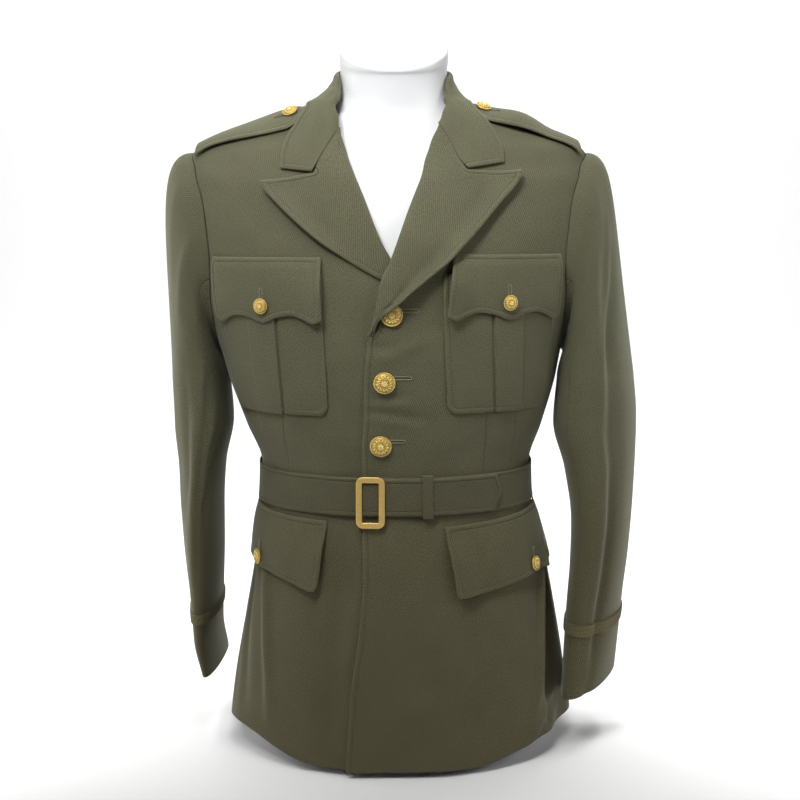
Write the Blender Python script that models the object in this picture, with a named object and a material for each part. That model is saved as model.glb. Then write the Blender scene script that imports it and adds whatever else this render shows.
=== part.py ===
"""Military dress tunic, single-breasted and belted, on a limbless dress form.

Metres, +Z up. The front faces -Y and the wearer's left is +X. The origin is the centre of the
form's flat base. Every cloth piece is a wall on the body surface, `on_body`, or on a sleeve
surface, `on_sleeve`. What lies on a panel is made from the panel's own points, moved out. A turn
is in degrees round the body: 0 is the front, 90 the wearer's left side and 180 the back.
"""

import math

import bmesh
import bpy
import numpy as np
from mathutils import Matrix, Vector

# ---------------------------------------------------------------- driving dimensions
WALL = 0.0020               # main cloth
TRIM_WALL = 0.0016          # pockets, flaps, belt, straps
LAPEL_WALL = 0.0022         # cloth and facing, pressed
BRAID_WALL = 0.0012
SEAM = 0.0003               # between neighbouring pieces
HEM_Z = 0.007
HEM_RISES = {1: (0.0203, 0.35, 0.90), -1: (0.0270, 0.38, 0.95)}   # at each side, and the sines it eases between
UNDERARM_Z = 0.440
SHOULDER_Z = 0.6535         # shoulder point, where the sleeve head starts
NECK_Z = 0.7205             # neck point, where the shoulder seam meets the collar
ARMHOLE_HALF_DEPTH = 0.075
BELT_LOW_Z = 0.2765
BELT_HIGH_Z = 0.3175
LEFT_CUFF_Z = 0.057
RIGHT_CUFF_Z = 0.065
BRAID_LEVELS = (0.1445, 0.1315)

# The tunic's outer face, one level section a row. Each is a superellipse: where it is widest
# (mid x, mid y), half its width there, the y of its front and back, and its power.
BODY_COLUMNS = ("z", "mid_x", "mid_y", "half", "front", "back", "power")
BODY = (
    (0.0000, 0.0045, 0.012, 0.2010, -0.147, 0.152, 2.15),
    (0.0600, 0.0047, 0.010, 0.1910, -0.144, 0.150, 2.15),
    (0.1300, 0.0050, 0.006, 0.1790, -0.139, 0.145, 2.20),
    (0.2000, 0.0055, 0.003, 0.1655, -0.132, 0.136, 2.25),
    (0.2500, 0.0022, 0.001, 0.1570, -0.126, 0.124, 2.30),
    (0.2850, 0.0005, 0.000, 0.1500, -0.122, 0.112, 2.30),
    (0.3150, 0.0005, 0.000, 0.1490, -0.122, 0.108, 2.30),
    (0.3600, -0.0010, 0.000, 0.1640, -0.127, 0.113, 2.30),
    (0.4100, -0.0030, 0.000, 0.1800, -0.134, 0.121, 2.30),
    (0.4400, -0.0045, 0.000, 0.1870, -0.137, 0.125, 2.30),
    (0.4700, -0.0060, 0.000, 0.1963, -0.138, 0.127, 2.30),
    (0.5000, -0.0070, 0.000, 0.2065, -0.137, 0.127, 2.30),
    (0.5400, -0.0075, 0.000, 0.2140, -0.132, 0.126, 2.30),
    (0.5800, -0.0078, 0.000, 0.2210, -0.122, 0.120, 2.30),
    (0.6200, -0.0080, 0.000, 0.2230, -0.105, 0.108, 2.30),
    (0.6400, -0.0080, 0.000, 0.2180, -0.093, 0.098, 2.25),
    (0.6535, -0.0060, 0.000, 0.2130, -0.084, 0.090, 2.20),
    (0.6800, -0.0025, 0.002, 0.1600, -0.069, 0.076, 2.10),
    (0.7000, -0.0055, 0.003, 0.1050, -0.060, 0.068, 2.00),
    (0.7065, -0.0050, 0.003, 0.0835, -0.0575, 0.066, 2.00),
    (0.7120, -0.0040, 0.004, 0.0750, -0.0555, 0.064, 2.00),
    (0.7205, -0.0025, 0.004, 0.0660, -0.052, 0.062, 2.00),
    (0.7350, -0.0015, 0.004, 0.0600, -0.050, 0.058, 2.00),
    (0.7550, -0.0010, 0.004, 0.0590, -0.052, 0.058, 2.00),
)

# The skirt's largest folds: the turn each runs down at, top and bottom, its half width in
# degrees, and how far it stands out at the bottom, or goes in.
FOLD_COLUMNS = ("low_turn", "high_turn", "low_z", "high_z", "spread", "out")
FOLDS = (
    (70.0, 61.0, 0.000, 0.235, 16.0, -0.0085),
    (98.0, 94.0, 0.000, 0.230, 13.0, 0.0030),
    (-64.0, -60.0, 0.000, 0.235, 14.0, 0.0040),
    (-88.0, -82.0, 0.000, 0.230, 15.0, -0.0045),
    (122.0, 118.0, 0.000, 0.240, 16.0, 0.0050),
    (150.0, 152.0, 0.000, 0.240, 15.0, -0.0040),
    (-120.0, -122.0, 0.000, 0.240, 17.0, 0.0050),
    (-148.0, -150.0, 0.000, 0.240, 15.0, -0.0040),
)

# Where the front panels end: the turn of the left front's edge, which lies on top, and of the
# right front's, which runs on under it. Above the V they end just behind the roll line.
FRONT_EDGE_COLUMNS = ("z", "left_edge", "right_edge")
FRONT_EDGE = (
    (0.0070, -14.2, 8.0),
    (0.0830, -14.0, 8.0),
    (0.1430, -12.0, 8.0),
    (0.2010, -11.0, 8.0),
    (0.2640, -10.2, 8.0),
    (0.3230, -10.1, 8.0),
    (0.3850, -7.4, 8.0),
    (0.4280, -6.1, 8.0),
    (0.4464, -5.2, 7.6),
    (0.4650, -2.6, 7.0),
    (0.4820, -1.3, 6.0),
    (0.4960, -0.2, 4.5),
    (0.5215, 1.4, 0.5),
    (0.5470, 3.6, -2.4),
    (0.5660, 4.9, -3.8),
    (0.5900, 6.7, -5.8),
    (0.6180, 9.4, -8.6),
    (0.6430, 12.8, -12.6),
    (0.6680, 17.5, -18.4),
    (0.6870, 26.0, -26.5),
    (0.7000, 36.0, -36.0),
    (0.7205, 62.0, -62.0),
)
# The left front's lift where it lies on the right front and, near the V, on its lapel too.
OVERLAP_COLUMNS = ("z", "lift")
OVERLAP = ((0.00, 0.0028), (0.44, 0.0028), (0.49, 0.0035), (0.52, 0.0062), (0.555, 0.0060),
           (0.585, 0.0030), (0.61, 0.0010), (0.64, 0.0), (0.73, 0.0))
OVERLAP_TURNS = (12.0, 25.0)         # full lift up to the first turn, none from the second

SKIRT_AND_WAIST_LEVELS = (HEM_Z, 0.050, 0.100, 0.150, 0.200, 0.240, BELT_LOW_Z, 0.2970, BELT_HIGH_Z,
                          0.345, 0.380, 0.412, UNDERARM_Z)
FRONT_COLUMNS = 12
BACK_COLUMNS = 9

# A sleeve from the armpit down, one level section a row: its middle, half its thickness across
# and half its depth front to back, and how many degrees its front edge leans in to the body.
SLEEVE_COLUMNS = ("z", "mid_x", "mid_y", "half_x", "half_y", "lean")
LEFT_SLEEVE = (
    (0.0570, 0.2180, -0.024, 0.0231, 0.061, 25.0),
    (0.1100, 0.2222, -0.018, 0.0257, 0.063, 23.0),
    (0.1600, 0.2264, -0.012, 0.0275, 0.067, 21.0),
    (0.2100, 0.2313, -0.007, 0.0296, 0.071, 19.0),
    (0.2600, 0.2336, -0.002, 0.0318, 0.075, 18.0),
    (0.3100, 0.2310, 0.002, 0.0370, 0.079, 18.0),
    (0.3600, 0.2250, 0.004, 0.0428, 0.081, 21.0),
    (0.4100, 0.2245, 0.004, 0.0390, 0.082, 20.0),
)
RIGHT_SLEEVE = (
    (0.0650, -0.2128, 0.050, 0.0088, 0.070, -3.0),
    (0.1100, -0.2194, 0.042, 0.0124, 0.072, -2.0),
    (0.1600, -0.2195, 0.033, 0.0173, 0.074, 0.0),
    (0.2100, -0.2197, 0.025, 0.0212, 0.075, 1.0),
    (0.2600, -0.2197, 0.018, 0.0231, 0.077, 2.0),
    (0.3100, -0.2178, 0.013, 0.0256, 0.079, 3.0),
    (0.3600, -0.2145, 0.010, 0.0320, 0.080, 3.0),
    (0.4100, -0.2170, 0.010, 0.0310, 0.082, 3.0),
)
SLEEVE_LEVELS = (0.370, 0.330, 0.290, 0.250, 0.210, 0.175, *BRAID_LEVELS, 0.100)
SLEEVE_TOP_Z = 0.410
SLEEVE_POWER = 0.92
TOP_SLEEVE_HALF = 105.0             # the top sleeve reaches this far round, each way from outside
HEAD_STEPS = (0.0, 0.12, 0.26, 0.42, 0.58, 0.74, 0.88, 1.0)
HEAD_REACHES = {1: (0.006, 0.040), -1: (0.006, 0.044)}   # how far each leaves the armhole: under, over
HEAD_CLIMB = (0.010, 0.160)         # how far up its curve starts from the first section
HEAD_SLANTS = {1: 0.150, -1: -0.015}   # how much that curve leans in, on the left and on the right
CUFF_RISE = 0.016                   # the left cuff is higher outside, towards the back
# Long creases of the sleeves: side, place round the sleeve, half width in degrees, depth.
SLEEVE_CREASE_COLUMNS = ("side", "around", "spread", "out")
SLEEVE_CREASES = ((1, 62.0, 26.0, -0.0050), (1, 250.0, 30.0, -0.0040), (-1, 40.0, 28.0, -0.0030),
                  (-1, 240.0, 30.0, -0.0040))

# Collar sections from the centre back to the front end. Each turns at the fold; the stand goes
# down inside it, and the fall goes down outside, through the middle, to its outer edge. The last
# section's middle is the notch.
COLLAR_COLUMNS = ("fold_turn", "fold_z", "stand_turn", "stand_z", "mid_turn", "mid_z", "edge_turn",
                  "edge_z", "crown", "lift")
COLLAR_BACK = (
    (180.0, 0.7500, 180.0, 0.7225, 180.0, 0.7270, 180.0, 0.7000, 0.0035, 0.0),
    (150.0, 0.7490, 150.0, 0.7225, 150.0, 0.7270, 150.0, 0.7010, 0.0035, 0.0),
    (120.0, 0.7450, 120.0, 0.7225, 120.0, 0.7255, 120.0, 0.7050, 0.0035, 0.0005),
    (93.0, 0.7400, 93.0, 0.7225, 94.0, 0.7215, 95.0, 0.7055, 0.0022, 0.0018),
    (72.0, 0.7330, 73.0, 0.7222, 72.0, 0.7185, 72.0, 0.7040, 0.0020, 0.0025),
    (52.0, 0.7205, 55.0, 0.7200, 52.0, 0.7090, 50.0, 0.6970, 0.0022, 0.0030),
    (34.0, 0.7065, 37.0, 0.7065, 36.0, 0.6930, 37.0, 0.6780, 0.0020, 0.0012),
)
LEFT_COLLAR = (*COLLAR_BACK,
               (24.0, 0.6920, 26.0, 0.6920, 26.0, 0.6700, 32.0, 0.6600, 0.0022, 0.0),
               (18.7, 0.6810, 20.6, 0.6810, 19.2, 0.6325, 31.0, 0.6395, 0.0012, 0.0))
RIGHT_COLLAR = (*COLLAR_BACK,
                (22.0, 0.6880, 24.0, 0.6880, 24.0, 0.6680, 29.5, 0.6560, 0.0022, 0.0),
                (15.7, 0.6731, 17.6, 0.6731, 17.1, 0.6290, 26.7, 0.6330, 0.0012, 0.0))

# Lapel sections from the bottom up: the roll line, the middle and the outer edge, how far the
# roll stands out, and how far the edge is lifted by what lies under it. The last section's
# middle is the notch and its edge the peak.
LAPEL_COLUMNS = ("roll_turn", "roll_z", "mid_turn", "mid_z", "edge_turn", "edge_z", "roll", "rise")
LEFT_LAPEL = (
    (-3.9, 0.4668, -3.3, 0.4700, -2.7, 0.4745, 0.0001, 0.0005),
    (-2.9, 0.4820, -1.8, 0.4845, -0.7, 0.4858, 0.0003, 0.0050),
    (-2.1, 0.4960, -0.2, 0.4970, 1.5, 0.4972, 0.0008, 0.0062),
    (-1.2, 0.5170, 1.8, 0.5120, 4.6, 0.5095, 0.0012, 0.0042),
    (0.3, 0.5380, 4.2, 0.5300, 8.5, 0.5225, 0.0014, 0.0036),
    (1.6, 0.5570, 7.0, 0.5460, 13.0, 0.5370, 0.0016, 0.0042),
    (3.9, 0.5900, 11.5, 0.5760, 20.0, 0.5655, 0.0018, 0.0012),
    (6.8, 0.6240, 16.0, 0.6040, 28.0, 0.5985, 0.0018, 0.0),
    (11.5, 0.6620, 18.3, 0.6280, 32.8, 0.6155, 0.0016, 0.0),
    (18.4, 0.6803, 18.9, 0.6318, 35.3, 0.6288, 0.0012, 0.0),
)
RIGHT_LAPEL = (
    (-2.0, 0.5280, -0.3, 0.5245, 1.0, 0.5216, 0.0001, 0.0),
    (-0.3, 0.5460, 4.0, 0.5420, 9.0, 0.5426, 0.0001, 0.0),
    (2.0, 0.5750, 8.0, 0.5660, 14.5, 0.5575, 0.0010, 0.0),
    (4.2, 0.6040, 12.0, 0.5920, 22.1, 0.5818, 0.0018, 0.0),
    (7.0, 0.6320, 15.0, 0.6130, 27.3, 0.5990, 0.0018, 0.0),
    (11.0, 0.6570, 16.4, 0.6245, 30.4, 0.6101, 0.0016, 0.0),
    (15.4, 0.6724, 16.8, 0.6283, 31.7, 0.6183, 0.0012, 0.0),
)
LIP_TURN = 0.9                      # how far the cloth turns back inside the roll

# Breast pockets, by girth from the middle of the front.
POCKET_COLUMNS = ("side", "inner", "outer", "bottom_z", "pleat")
POCKETS = ((1, 0.0560, 0.1860, 0.3850, 0.1255), (-1, 0.0665, 0.1940, 0.3825, 0.1335))
POCKET_TOP_Z = 0.528
POCKET_CORNER = 0.011
PLEAT_HALF = 0.0165
PLEAT_RISE = 0.0017
POCKET_OUT = 0.0025
# Breast flaps: the scalloped lower edge, as the height over its points at shares of its width.
FLAP_COLUMNS = ("side", "inner", "inner_top", "outer", "top_z", "point_z")
BREAST_FLAPS = ((1, 0.0580, 0.0660, 0.1900, 0.5470, 0.4810), (-1, 0.0655, 0.0665, 0.1925, 0.5440, 0.4778))
FLAP_EDGE_COLUMNS = ("share", "height")
FLAP_EDGE = ((0.0, 0.0045), (0.035, 0.0012), (0.08, 0.0002), (0.15, 0.0040), (0.26, 0.0080), (0.38, 0.0055),
             (0.50, 0.0), (0.62, 0.0055), (0.74, 0.0080), (0.85, 0.0040), (0.92, 0.0002), (0.965, 0.0012),
             (1.0, 0.0045))
FLAP_OUT = (0.0024, 0.0062, 0.0068, 0.0064)     # from the top row to the lower edge
FLAP_ROWS = (0.0, 0.22, 0.62, 1.0)
# Hip flaps: the front edge's girth at the top and bottom, the back edge's, and the heights.
HIP_COLUMNS = ("side", "front_top", "front_low", "back_top", "back_low", "front_z", "back_z",
               "front_low_z", "back_low_z")
HIP_FLAPS = ((1, 0.0500, 0.0575, 0.2260, 0.2300, 0.2640, 0.2740, 0.1870, 0.2040),
             (-1, 0.0720, 0.0860, 0.2420, 0.2380, 0.2690, 0.2740, 0.1905, 0.2130))
HIP_OUT = (0.0022, 0.0036, 0.0052, 0.0058)
HIP_BUTTONS = ((1, 0.1610, 0.2125), (-1, 0.1690, 0.2190))      # side, girth, z

# Shoulder straps, by distance sideways from the middle and from front to back, at the armhole
# and at the tip, how far forward each bends between them, where it bows up most, and how far.
STRAP_COLUMNS = ("side", "armhole_x", "tip_x", "armhole_y", "tip_y", "bend", "bow_share", "bow")
STRAPS = ((1, 0.1960, 0.0800, -0.0090, -0.0325, 0.0040, 0.55, 0.0060),
          (-1, -0.2105, -0.0965, -0.0090, -0.0380, 0.0060, 0.32, 0.0018))
STRAP_WIDTHS = (0.052, 0.040)
STRAP_BUTTON_INSET = 0.0128
STRAP_OUTS = (0.0050, 0.0044, 0.0038, 0.0038, 0.0038, 0.0036, 0.0026, 0.0024)   # row by row, to the tip

BELT_OUT = 0.0030                   # the belt's face over the cloth
KEEPER_WALL = 0.0010
KEEPER_ROOM = 0.0012                # the belt stands off more where its keeper passes behind it
BELT_END_TURNS = (-12.0, 44.0)
KEEPER_TURNS = (8.2, 12.0)
BUCKLE = {"turn": -7.3, "z": 0.2920, "width": 0.0316, "height": 0.0562, "bar": 0.0062,
          "thick": 0.0024, "corner": 0.0075}

# Buttons: name, turn and height of the middle, or place on the strap, radius and domed height.
COAT_BUTTON = {"radius": 0.01125, "height": 0.0056, "around": 20}
POCKET_BUTTON = {"radius": 0.0080, "height": 0.0044, "around": 14}
BUTTON_PROFILE = ((0.0, 1.0), (0.34, 0.95), (0.62, 0.80), (0.84, 0.56), (0.90, 0.47), (0.965, 0.49),
                  (1.0, 0.36), (0.95, 0.16), (0.40, 0.10), (0.24, 0.0))
COAT_BUTTONS = ((0.6, 0.4868), (-1.3, 0.4186), (-3.3, 0.3520))

# The dress form: level sections as for the body, then the neck's tilted sections.
FORM = (
    (0.0000, 0.0000, 0.000, 0.1500, -0.100, 0.100, 2.20),
    (0.0100, 0.0010, 0.003, 0.1620, -0.115, 0.120, 2.20),
    (0.0600, 0.0030, 0.008, 0.1680, -0.125, 0.132, 2.20),
    (0.1300, 0.0040, 0.006, 0.1620, -0.123, 0.128, 2.20),
    (0.2000, 0.0030, 0.003, 0.1530, -0.118, 0.120, 2.25),
    (0.2500, 0.0010, 0.001, 0.1430, -0.112, 0.109, 2.30),
    (0.3000, 0.0005, 0.000, 0.1360, -0.109, 0.097, 2.30),
    (0.3600, -0.0010, 0.000, 0.1500, -0.114, 0.100, 2.30),
    (0.4100, -0.0030, 0.000, 0.1650, -0.121, 0.108, 2.30),
    (0.4400, -0.0045, 0.000, 0.1720, -0.124, 0.112, 2.30),
    (0.5000, -0.0070, 0.000, 0.1820, -0.124, 0.114, 2.30),
    (0.5400, -0.0075, 0.000, 0.1880, -0.119, 0.113, 2.30),
    (0.5800, -0.0078, 0.000, 0.1940, -0.109, 0.107, 2.30),
    (0.6150, -0.0080, 0.000, 0.1950, -0.094, 0.096, 2.25),
    (0.6350, -0.0080, 0.000, 0.1860, -0.083, 0.087, 2.20),
    (0.6520, -0.0075, 0.000, 0.1600, -0.073, 0.079, 2.10),
    (0.6680, -0.0065, 0.001, 0.1250, -0.063, 0.070, 2.05),
    (0.6850, -0.0045, 0.001, 0.0900, -0.055, 0.062, 2.00),
    (0.7000, -0.0025, 0.001, 0.0680, -0.051, 0.057, 2.00),
    (0.7150, -0.0012, 0.002, 0.0592, -0.0508, 0.0555, 2.00),
    (0.7300, -0.0012, 0.002, 0.0577, -0.0510, 0.0556, 2.00),
)
FORM_AROUND = 28
# The neck over its last level section: height of the middle, half width, half depth, slope.
NECK_COLUMNS = ("z", "half", "depth", "slope")
NECK_TOP = ((0.7430, 0.0578, 0.0535, 0.20), (0.7560, 0.0590, 0.0545, 0.40), (0.7650, 0.0590, 0.0548, 0.53),
            (0.7672, 0.0575, 0.0533, 0.53))


def smooth_table(rows, columns):
    """A function of the first column that gives the others by name, smoothly and without overshoot."""
    data = np.array(rows, float)
    at, values = data[:, 0], data[:, 1:]
    steps = np.diff(values, axis=0) / np.diff(at)[:, None]
    before, after = steps[:-1], steps[1:]
    same = before * after > 0
    slopes = np.vstack([steps[:1], np.where(same, 2 * before * after / np.where(same, before + after, 1.0), 0.0),
                        steps[-1:]])

    def read(value):
        i = int(np.clip(np.searchsorted(at, value) - 1, 0, len(at) - 2))
        span = at[i + 1] - at[i]
        t = float(np.clip((value - at[i]) / span, 0.0, 1.0))
        a = values[i] * (1 + 2 * t) * (1 - t) ** 2 + slopes[i] * span * t * (1 - t) ** 2
        b = values[i + 1] * t * t * (3 - 2 * t) - slopes[i + 1] * span * t * t * (1 - t)
        return dict(zip(columns[1:], (a + b).tolist()))

    return read


body_section = smooth_table(BODY, BODY_COLUMNS)
front_edge = smooth_table(FRONT_EDGE, FRONT_EDGE_COLUMNS)
overlap_lift = smooth_table(OVERLAP, OVERLAP_COLUMNS)
left_sleeve = smooth_table(LEFT_SLEEVE, SLEEVE_COLUMNS)
right_sleeve = smooth_table(RIGHT_SLEEVE, SLEEVE_COLUMNS)
flap_edge = smooth_table(FLAP_EDGE, FLAP_EDGE_COLUMNS)


# ---------------------------------------------------------------- surfaces
def signed_power(value, power):
    return math.copysign(abs(value) ** power, value)


def section_point(section, turn, z):
    """The point of a section at this turn."""
    angle = math.radians(turn)
    across, along = math.sin(angle), math.cos(angle)
    depth = section["mid_y"] - section["front"] if along > 0 else section["back"] - section["mid_y"]
    power = 2 / section["power"]
    return Vector((section["mid_x"] + section["half"] * signed_power(across, power),
                   section["mid_y"] - depth * signed_power(along, power), z))


def fold_depth(turn, z):
    """How far the large folds push the cloth out here."""
    depth = 0.0
    for row in FOLDS:
        fold = dict(zip(FOLD_COLUMNS, row))
        if not fold["low_z"] < z < fold["high_z"]:
            continue
        t = (z - fold["low_z"]) / (fold["high_z"] - fold["low_z"])
        centre = fold["low_turn"] + t * (fold["high_turn"] - fold["low_turn"])
        away = abs(turn - centre) / fold["spread"]
        if away < 1:
            depth += fold["out"] * math.cos(away * math.pi / 2) ** 2 * (1 - t) ** 0.7
    return depth


def body_normal(turn, z):
    """The outward direction of the tunic's outer face."""
    around, up = 1.0, 0.002
    along = section_point(body_section(z), turn + around, z) - section_point(body_section(z), turn - around, z)
    rise = section_point(body_section(z + up), turn, z + up) - section_point(body_section(z - up), turn, z - up)
    return along.cross(rise).normalized()


def on_body(turn, z, out=0.0):
    """The point of the tunic's outer face at this turn and height, moved out."""
    return section_point(body_section(z), turn, z) + body_normal(turn, z) * (out + fold_depth(turn, z))


def turn_at(girth, z):
    """The turn that lies this far round the section from its front, measured along the cloth."""
    section = body_section(z)
    turns = np.linspace(0.0, 150.0, 76)
    points = np.array([section_point(section, turn, z) for turn in turns])
    reached = np.concatenate([[0.0], np.cumsum(np.linalg.norm(np.diff(points, axis=0), axis=1))])
    return math.copysign(float(np.interp(abs(girth), reached, turns)), girth)


def on_shoulder(x, y, out=0.0):
    """The point of the shoulder's slope over this place, moved out."""
    low, high = 0.56, 0.745
    for _ in range(30):
        z = (low + high) / 2
        section = body_section(z)
        depth = section["mid_y"] - section["front"] if y < section["mid_y"] else section["back"] - section["mid_y"]
        inside = (abs(x - section["mid_x"]) / section["half"]) ** section["power"] + (
            abs(y - section["mid_y"]) / depth) ** section["power"] < 1
        low, high = (z, high) if inside else (low, z)
    step = 0.002
    if out == 0.0:
        return Vector((x, y, z))
    along = on_shoulder(x + step, y) - on_shoulder(x - step, y)
    across = on_shoulder(x, y + step) - on_shoulder(x, y - step)
    return Vector((x, y, z)) + along.cross(across).normalized() * out


def ease(value, low, high):
    """0 below low, 1 above high, smooth between them."""
    t = min(max((value - low) / (high - low), 0.0), 1.0)
    return t * t * (3 - 2 * t)


# ---------------------------------------------------------------- materials and solids
def finish(name, colour, roughness, metallic=0.0):
    material = bpy.data.materials.new(name)
    material.use_nodes = True
    shader = material.node_tree.nodes["Principled BSDF"]
    shader.inputs["Base Color"].default_value = (*colour, 1.0)
    shader.inputs["Roughness"].default_value = roughness
    shader.inputs["Metallic"].default_value = metallic
    return material


def add_object(name, mesh, material):
    mesh.materials.append(material)
    mesh.shade_smooth()
    mesh.set_sharp_from_angle(angle=math.radians(40))
    made = bpy.data.objects.new(name, mesh)
    bpy.context.scene.collection.objects.link(made)
    return made


def unit(vectors):
    return vectors / np.maximum(np.linalg.norm(vectors, axis=-1, keepdims=True), 1e-12)


def directions(grid, axis, ring):
    """Each point's direction along its row or column: halfway between its two edges' directions."""
    edges = unit(np.diff(grid, axis=axis))
    if ring:
        last = unit(np.take(grid, [0], axis) - np.take(grid, [-1], axis))
        return np.concatenate([last, edges], axis) + np.concatenate([edges, last], axis)
    first, last = np.take(edges, [0], axis), np.take(edges, [-1], axis)
    return np.concatenate([first, edges], axis) + np.concatenate([edges, last], axis)


def sheet(name, rows, wall, material, ring=False, beyond=False, trim=(False, False), hub=(0.0, 0.0)):
    """A cloth wall: rows of points on its outer face, which faces away from the hub, and a wall inwards.
    With beyond, each row has a point more at both ends, for the direction of the wall at its seams.
    With trim, an end is drawn in by half a seam."""
    outer = np.array([[tuple(point) for point in row] for row in rows])
    normals = unit(np.cross(directions(outer, 1, ring), directions(outer, 0, False)))
    if (normals[..., :2] * (outer[..., :2] - np.array(hub))).sum() < 0:
        normals = -normals
    inner = outer - normals * wall
    if beyond:
        outer, inner = outer[:, 1:-1], inner[:, 1:-1]
    for face in (outer, inner):
        if trim[0]:
            face[:, 0] += unit(face[:, 1] - face[:, 0]) * SEAM / 2
        if trim[1]:
            face[:, -1] += unit(face[:, -2] - face[:, -1]) * SEAM / 2
    return add_object(name, closed_mesh(name, outer, inner, ring), material)


def closed_mesh(name, outer, inner, ring):
    """Two grids of points joined along their borders into one closed mesh."""
    high, wide = outer.shape[:2]
    shape = bmesh.new()
    faces = [[[shape.verts.new(point) for point in row] for row in grid] for grid in (outer, inner)]
    for grid in faces:
        for low, high_row in zip(grid, grid[1:]):
            for i in range(wide if ring else wide - 1):
                j = (i + 1) % wide
                shape.faces.new((low[i], low[j], high_row[j], high_row[i]))
    border = [(0, i, 0, (i + 1) % wide) for i in range(wide if ring else wide - 1)]
    border += [(high - 1, i, high - 1, j) for _, i, _, j in border]
    if not ring:
        border += [(i, j, i + 1, j) for i in range(high - 1) for j in (0, wide - 1)]
    for i, j, k, m in border:
        shape.faces.new((faces[0][i][j], faces[0][k][m], faces[1][k][m], faces[1][i][j]))
    bmesh.ops.recalc_face_normals(shape, faces=shape.faces)
    mesh = bpy.data.meshes.new(name)
    shape.to_mesh(mesh)
    shape.free()
    return mesh


# ---------------------------------------------------------------- pieces: fronts and backs
def hem_height(turn, z):
    """The hem rides up at the sides. The rise dies out at the belt."""
    across = math.sin(math.radians(turn))
    rise, first, last = HEM_RISES[1 if across > 0 else -1]
    return z + rise * ease(abs(across), first, last) * max(0.0, 1 - z / BELT_LOW_Z)


def armhole_y(z):
    """Half the armhole's depth, front to back, at this height."""
    middle, half = (SHOULDER_Z + UNDERARM_Z) / 2, (SHOULDER_Z - UNDERARM_Z) / 2
    return ARMHOLE_HALF_DEPTH * math.sqrt(max(0.0, 1 - ((z - middle) / half) ** 2))


def armhole_turn(z, back):
    """The turn at which the front or back panel meets the armhole, or the side or shoulder seam."""
    if not UNDERARM_Z < z < SHOULDER_Z:
        return 90.0
    section = body_section(z)
    depth = section["back"] - section["mid_y"] if back else section["mid_y"] - section["front"]
    away = math.degrees(math.acos(min(1.0, armhole_y(z) / depth) ** (section["power"] / 2)))
    return 180 - away if back else away


def panel_levels():
    """Heights of the panels' rows: close together where the cloth curves most."""
    middle, half = (SHOULDER_Z + UNDERARM_Z) / 2, (SHOULDER_Z - UNDERARM_Z) / 2
    armhole = [middle - half * math.cos(math.radians(step)) for step in range(20, 181, 20)]
    shoulder = [SHOULDER_Z + (NECK_Z - SHOULDER_Z) * step / 4 for step in (1, 2, 3, 4)]
    return list(SKIRT_AND_WAIST_LEVELS) + armhole + shoulder


def overlap_out(turn, z):
    """How far the left front stands out where it lies on the right front and its lapel."""
    return overlap_lift(z)["lift"] * (1 - ease(turn, *OVERLAP_TURNS))


def no_stack(turn, z):
    """Nothing lies between this piece and the body surface."""
    return 0.0


def front_panel(side, material):
    rows = []
    for z in panel_levels():
        edge = front_edge(z)["left_edge" if side > 0 else "right_edge"]
        seam = armhole_turn(z, back=False) * side
        row = []
        for i in range(-1, FRONT_COLUMNS + 1):
            turn = edge + (seam - edge) * i / (FRONT_COLUMNS - 1)
            out = overlap_out(turn, z) if side > 0 else 0.0
            row.append(on_body(turn, hem_height(turn, z), out))
        rows.append(row)
    name = "front_left" if side > 0 else "front_right"
    return sheet(name, rows, WALL, material, beyond=True, trim=(False, True))


def back_panel(side, material):
    rows = []
    for z in panel_levels():
        seam = armhole_turn(z, back=True)
        turns = [side * (180 + (seam - 180) * i / (BACK_COLUMNS - 1)) for i in range(-1, BACK_COLUMNS + 1)]
        rows.append([on_body(turn, hem_height(turn, z)) for turn in turns])
    name = "back_left" if side > 0 else "back_right"
    return sheet(name, rows, WALL, material, beyond=True, trim=(True, True))


# ---------------------------------------------------------------- pieces: sleeves
def on_sleeve(side, around, z, out=0.0):
    """A point of a sleeve: around is 0 outside, 90 in front, 180 against the body, 270 behind."""
    if out:
        step = 2.0
        along = on_sleeve(side, around + step, z) - on_sleeve(side, around - step, z)
        across = Vector((along.y, -along.x, 0.0)).normalized() * (-side)
        return on_sleeve(side, around, z) + across * out
    row = (left_sleeve if side > 0 else right_sleeve)(z)
    angle = math.radians(around)
    crease = 0.0
    for values in SLEEVE_CREASES:
        fold = dict(zip(SLEEVE_CREASE_COLUMNS, values))
        away = abs((around - fold["around"] + 180) % 360 - 180) / fold["spread"]
        if fold["side"] == side and away < 1:
            crease += fold["out"] * math.cos(away * math.pi / 2) ** 2 * ease(-z, -0.42, -0.30)
    thick = row["half_x"] * signed_power(math.cos(angle), SLEEVE_POWER)
    deep = -row["half_y"] * signed_power(math.sin(angle), SLEEVE_POWER)
    scale = 1 + crease / math.hypot(thick, deep)
    thick, deep = thick * scale, deep * scale
    lean = math.radians(row["lean"])
    x = thick * math.cos(lean) + deep * math.sin(lean)
    y = -thick * math.sin(lean) + deep * math.cos(lean)
    return Vector((row["mid_x"] + side * x, row["mid_y"] + y, z))


def armhole_point(side, around):
    """The armhole's edge, set off by a seam towards the sleeve."""
    middle, half = (SHOULDER_Z + UNDERARM_Z) / 2, (SHOULDER_Z - UNDERARM_Z) / 2
    z = middle + half * math.cos(math.radians(around))
    turn = armhole_turn(z, back=around % 360 > 180)
    return on_body(side * turn, z) + Vector((side * SEAM * 3.4, 0.0, 0.0))


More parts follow.
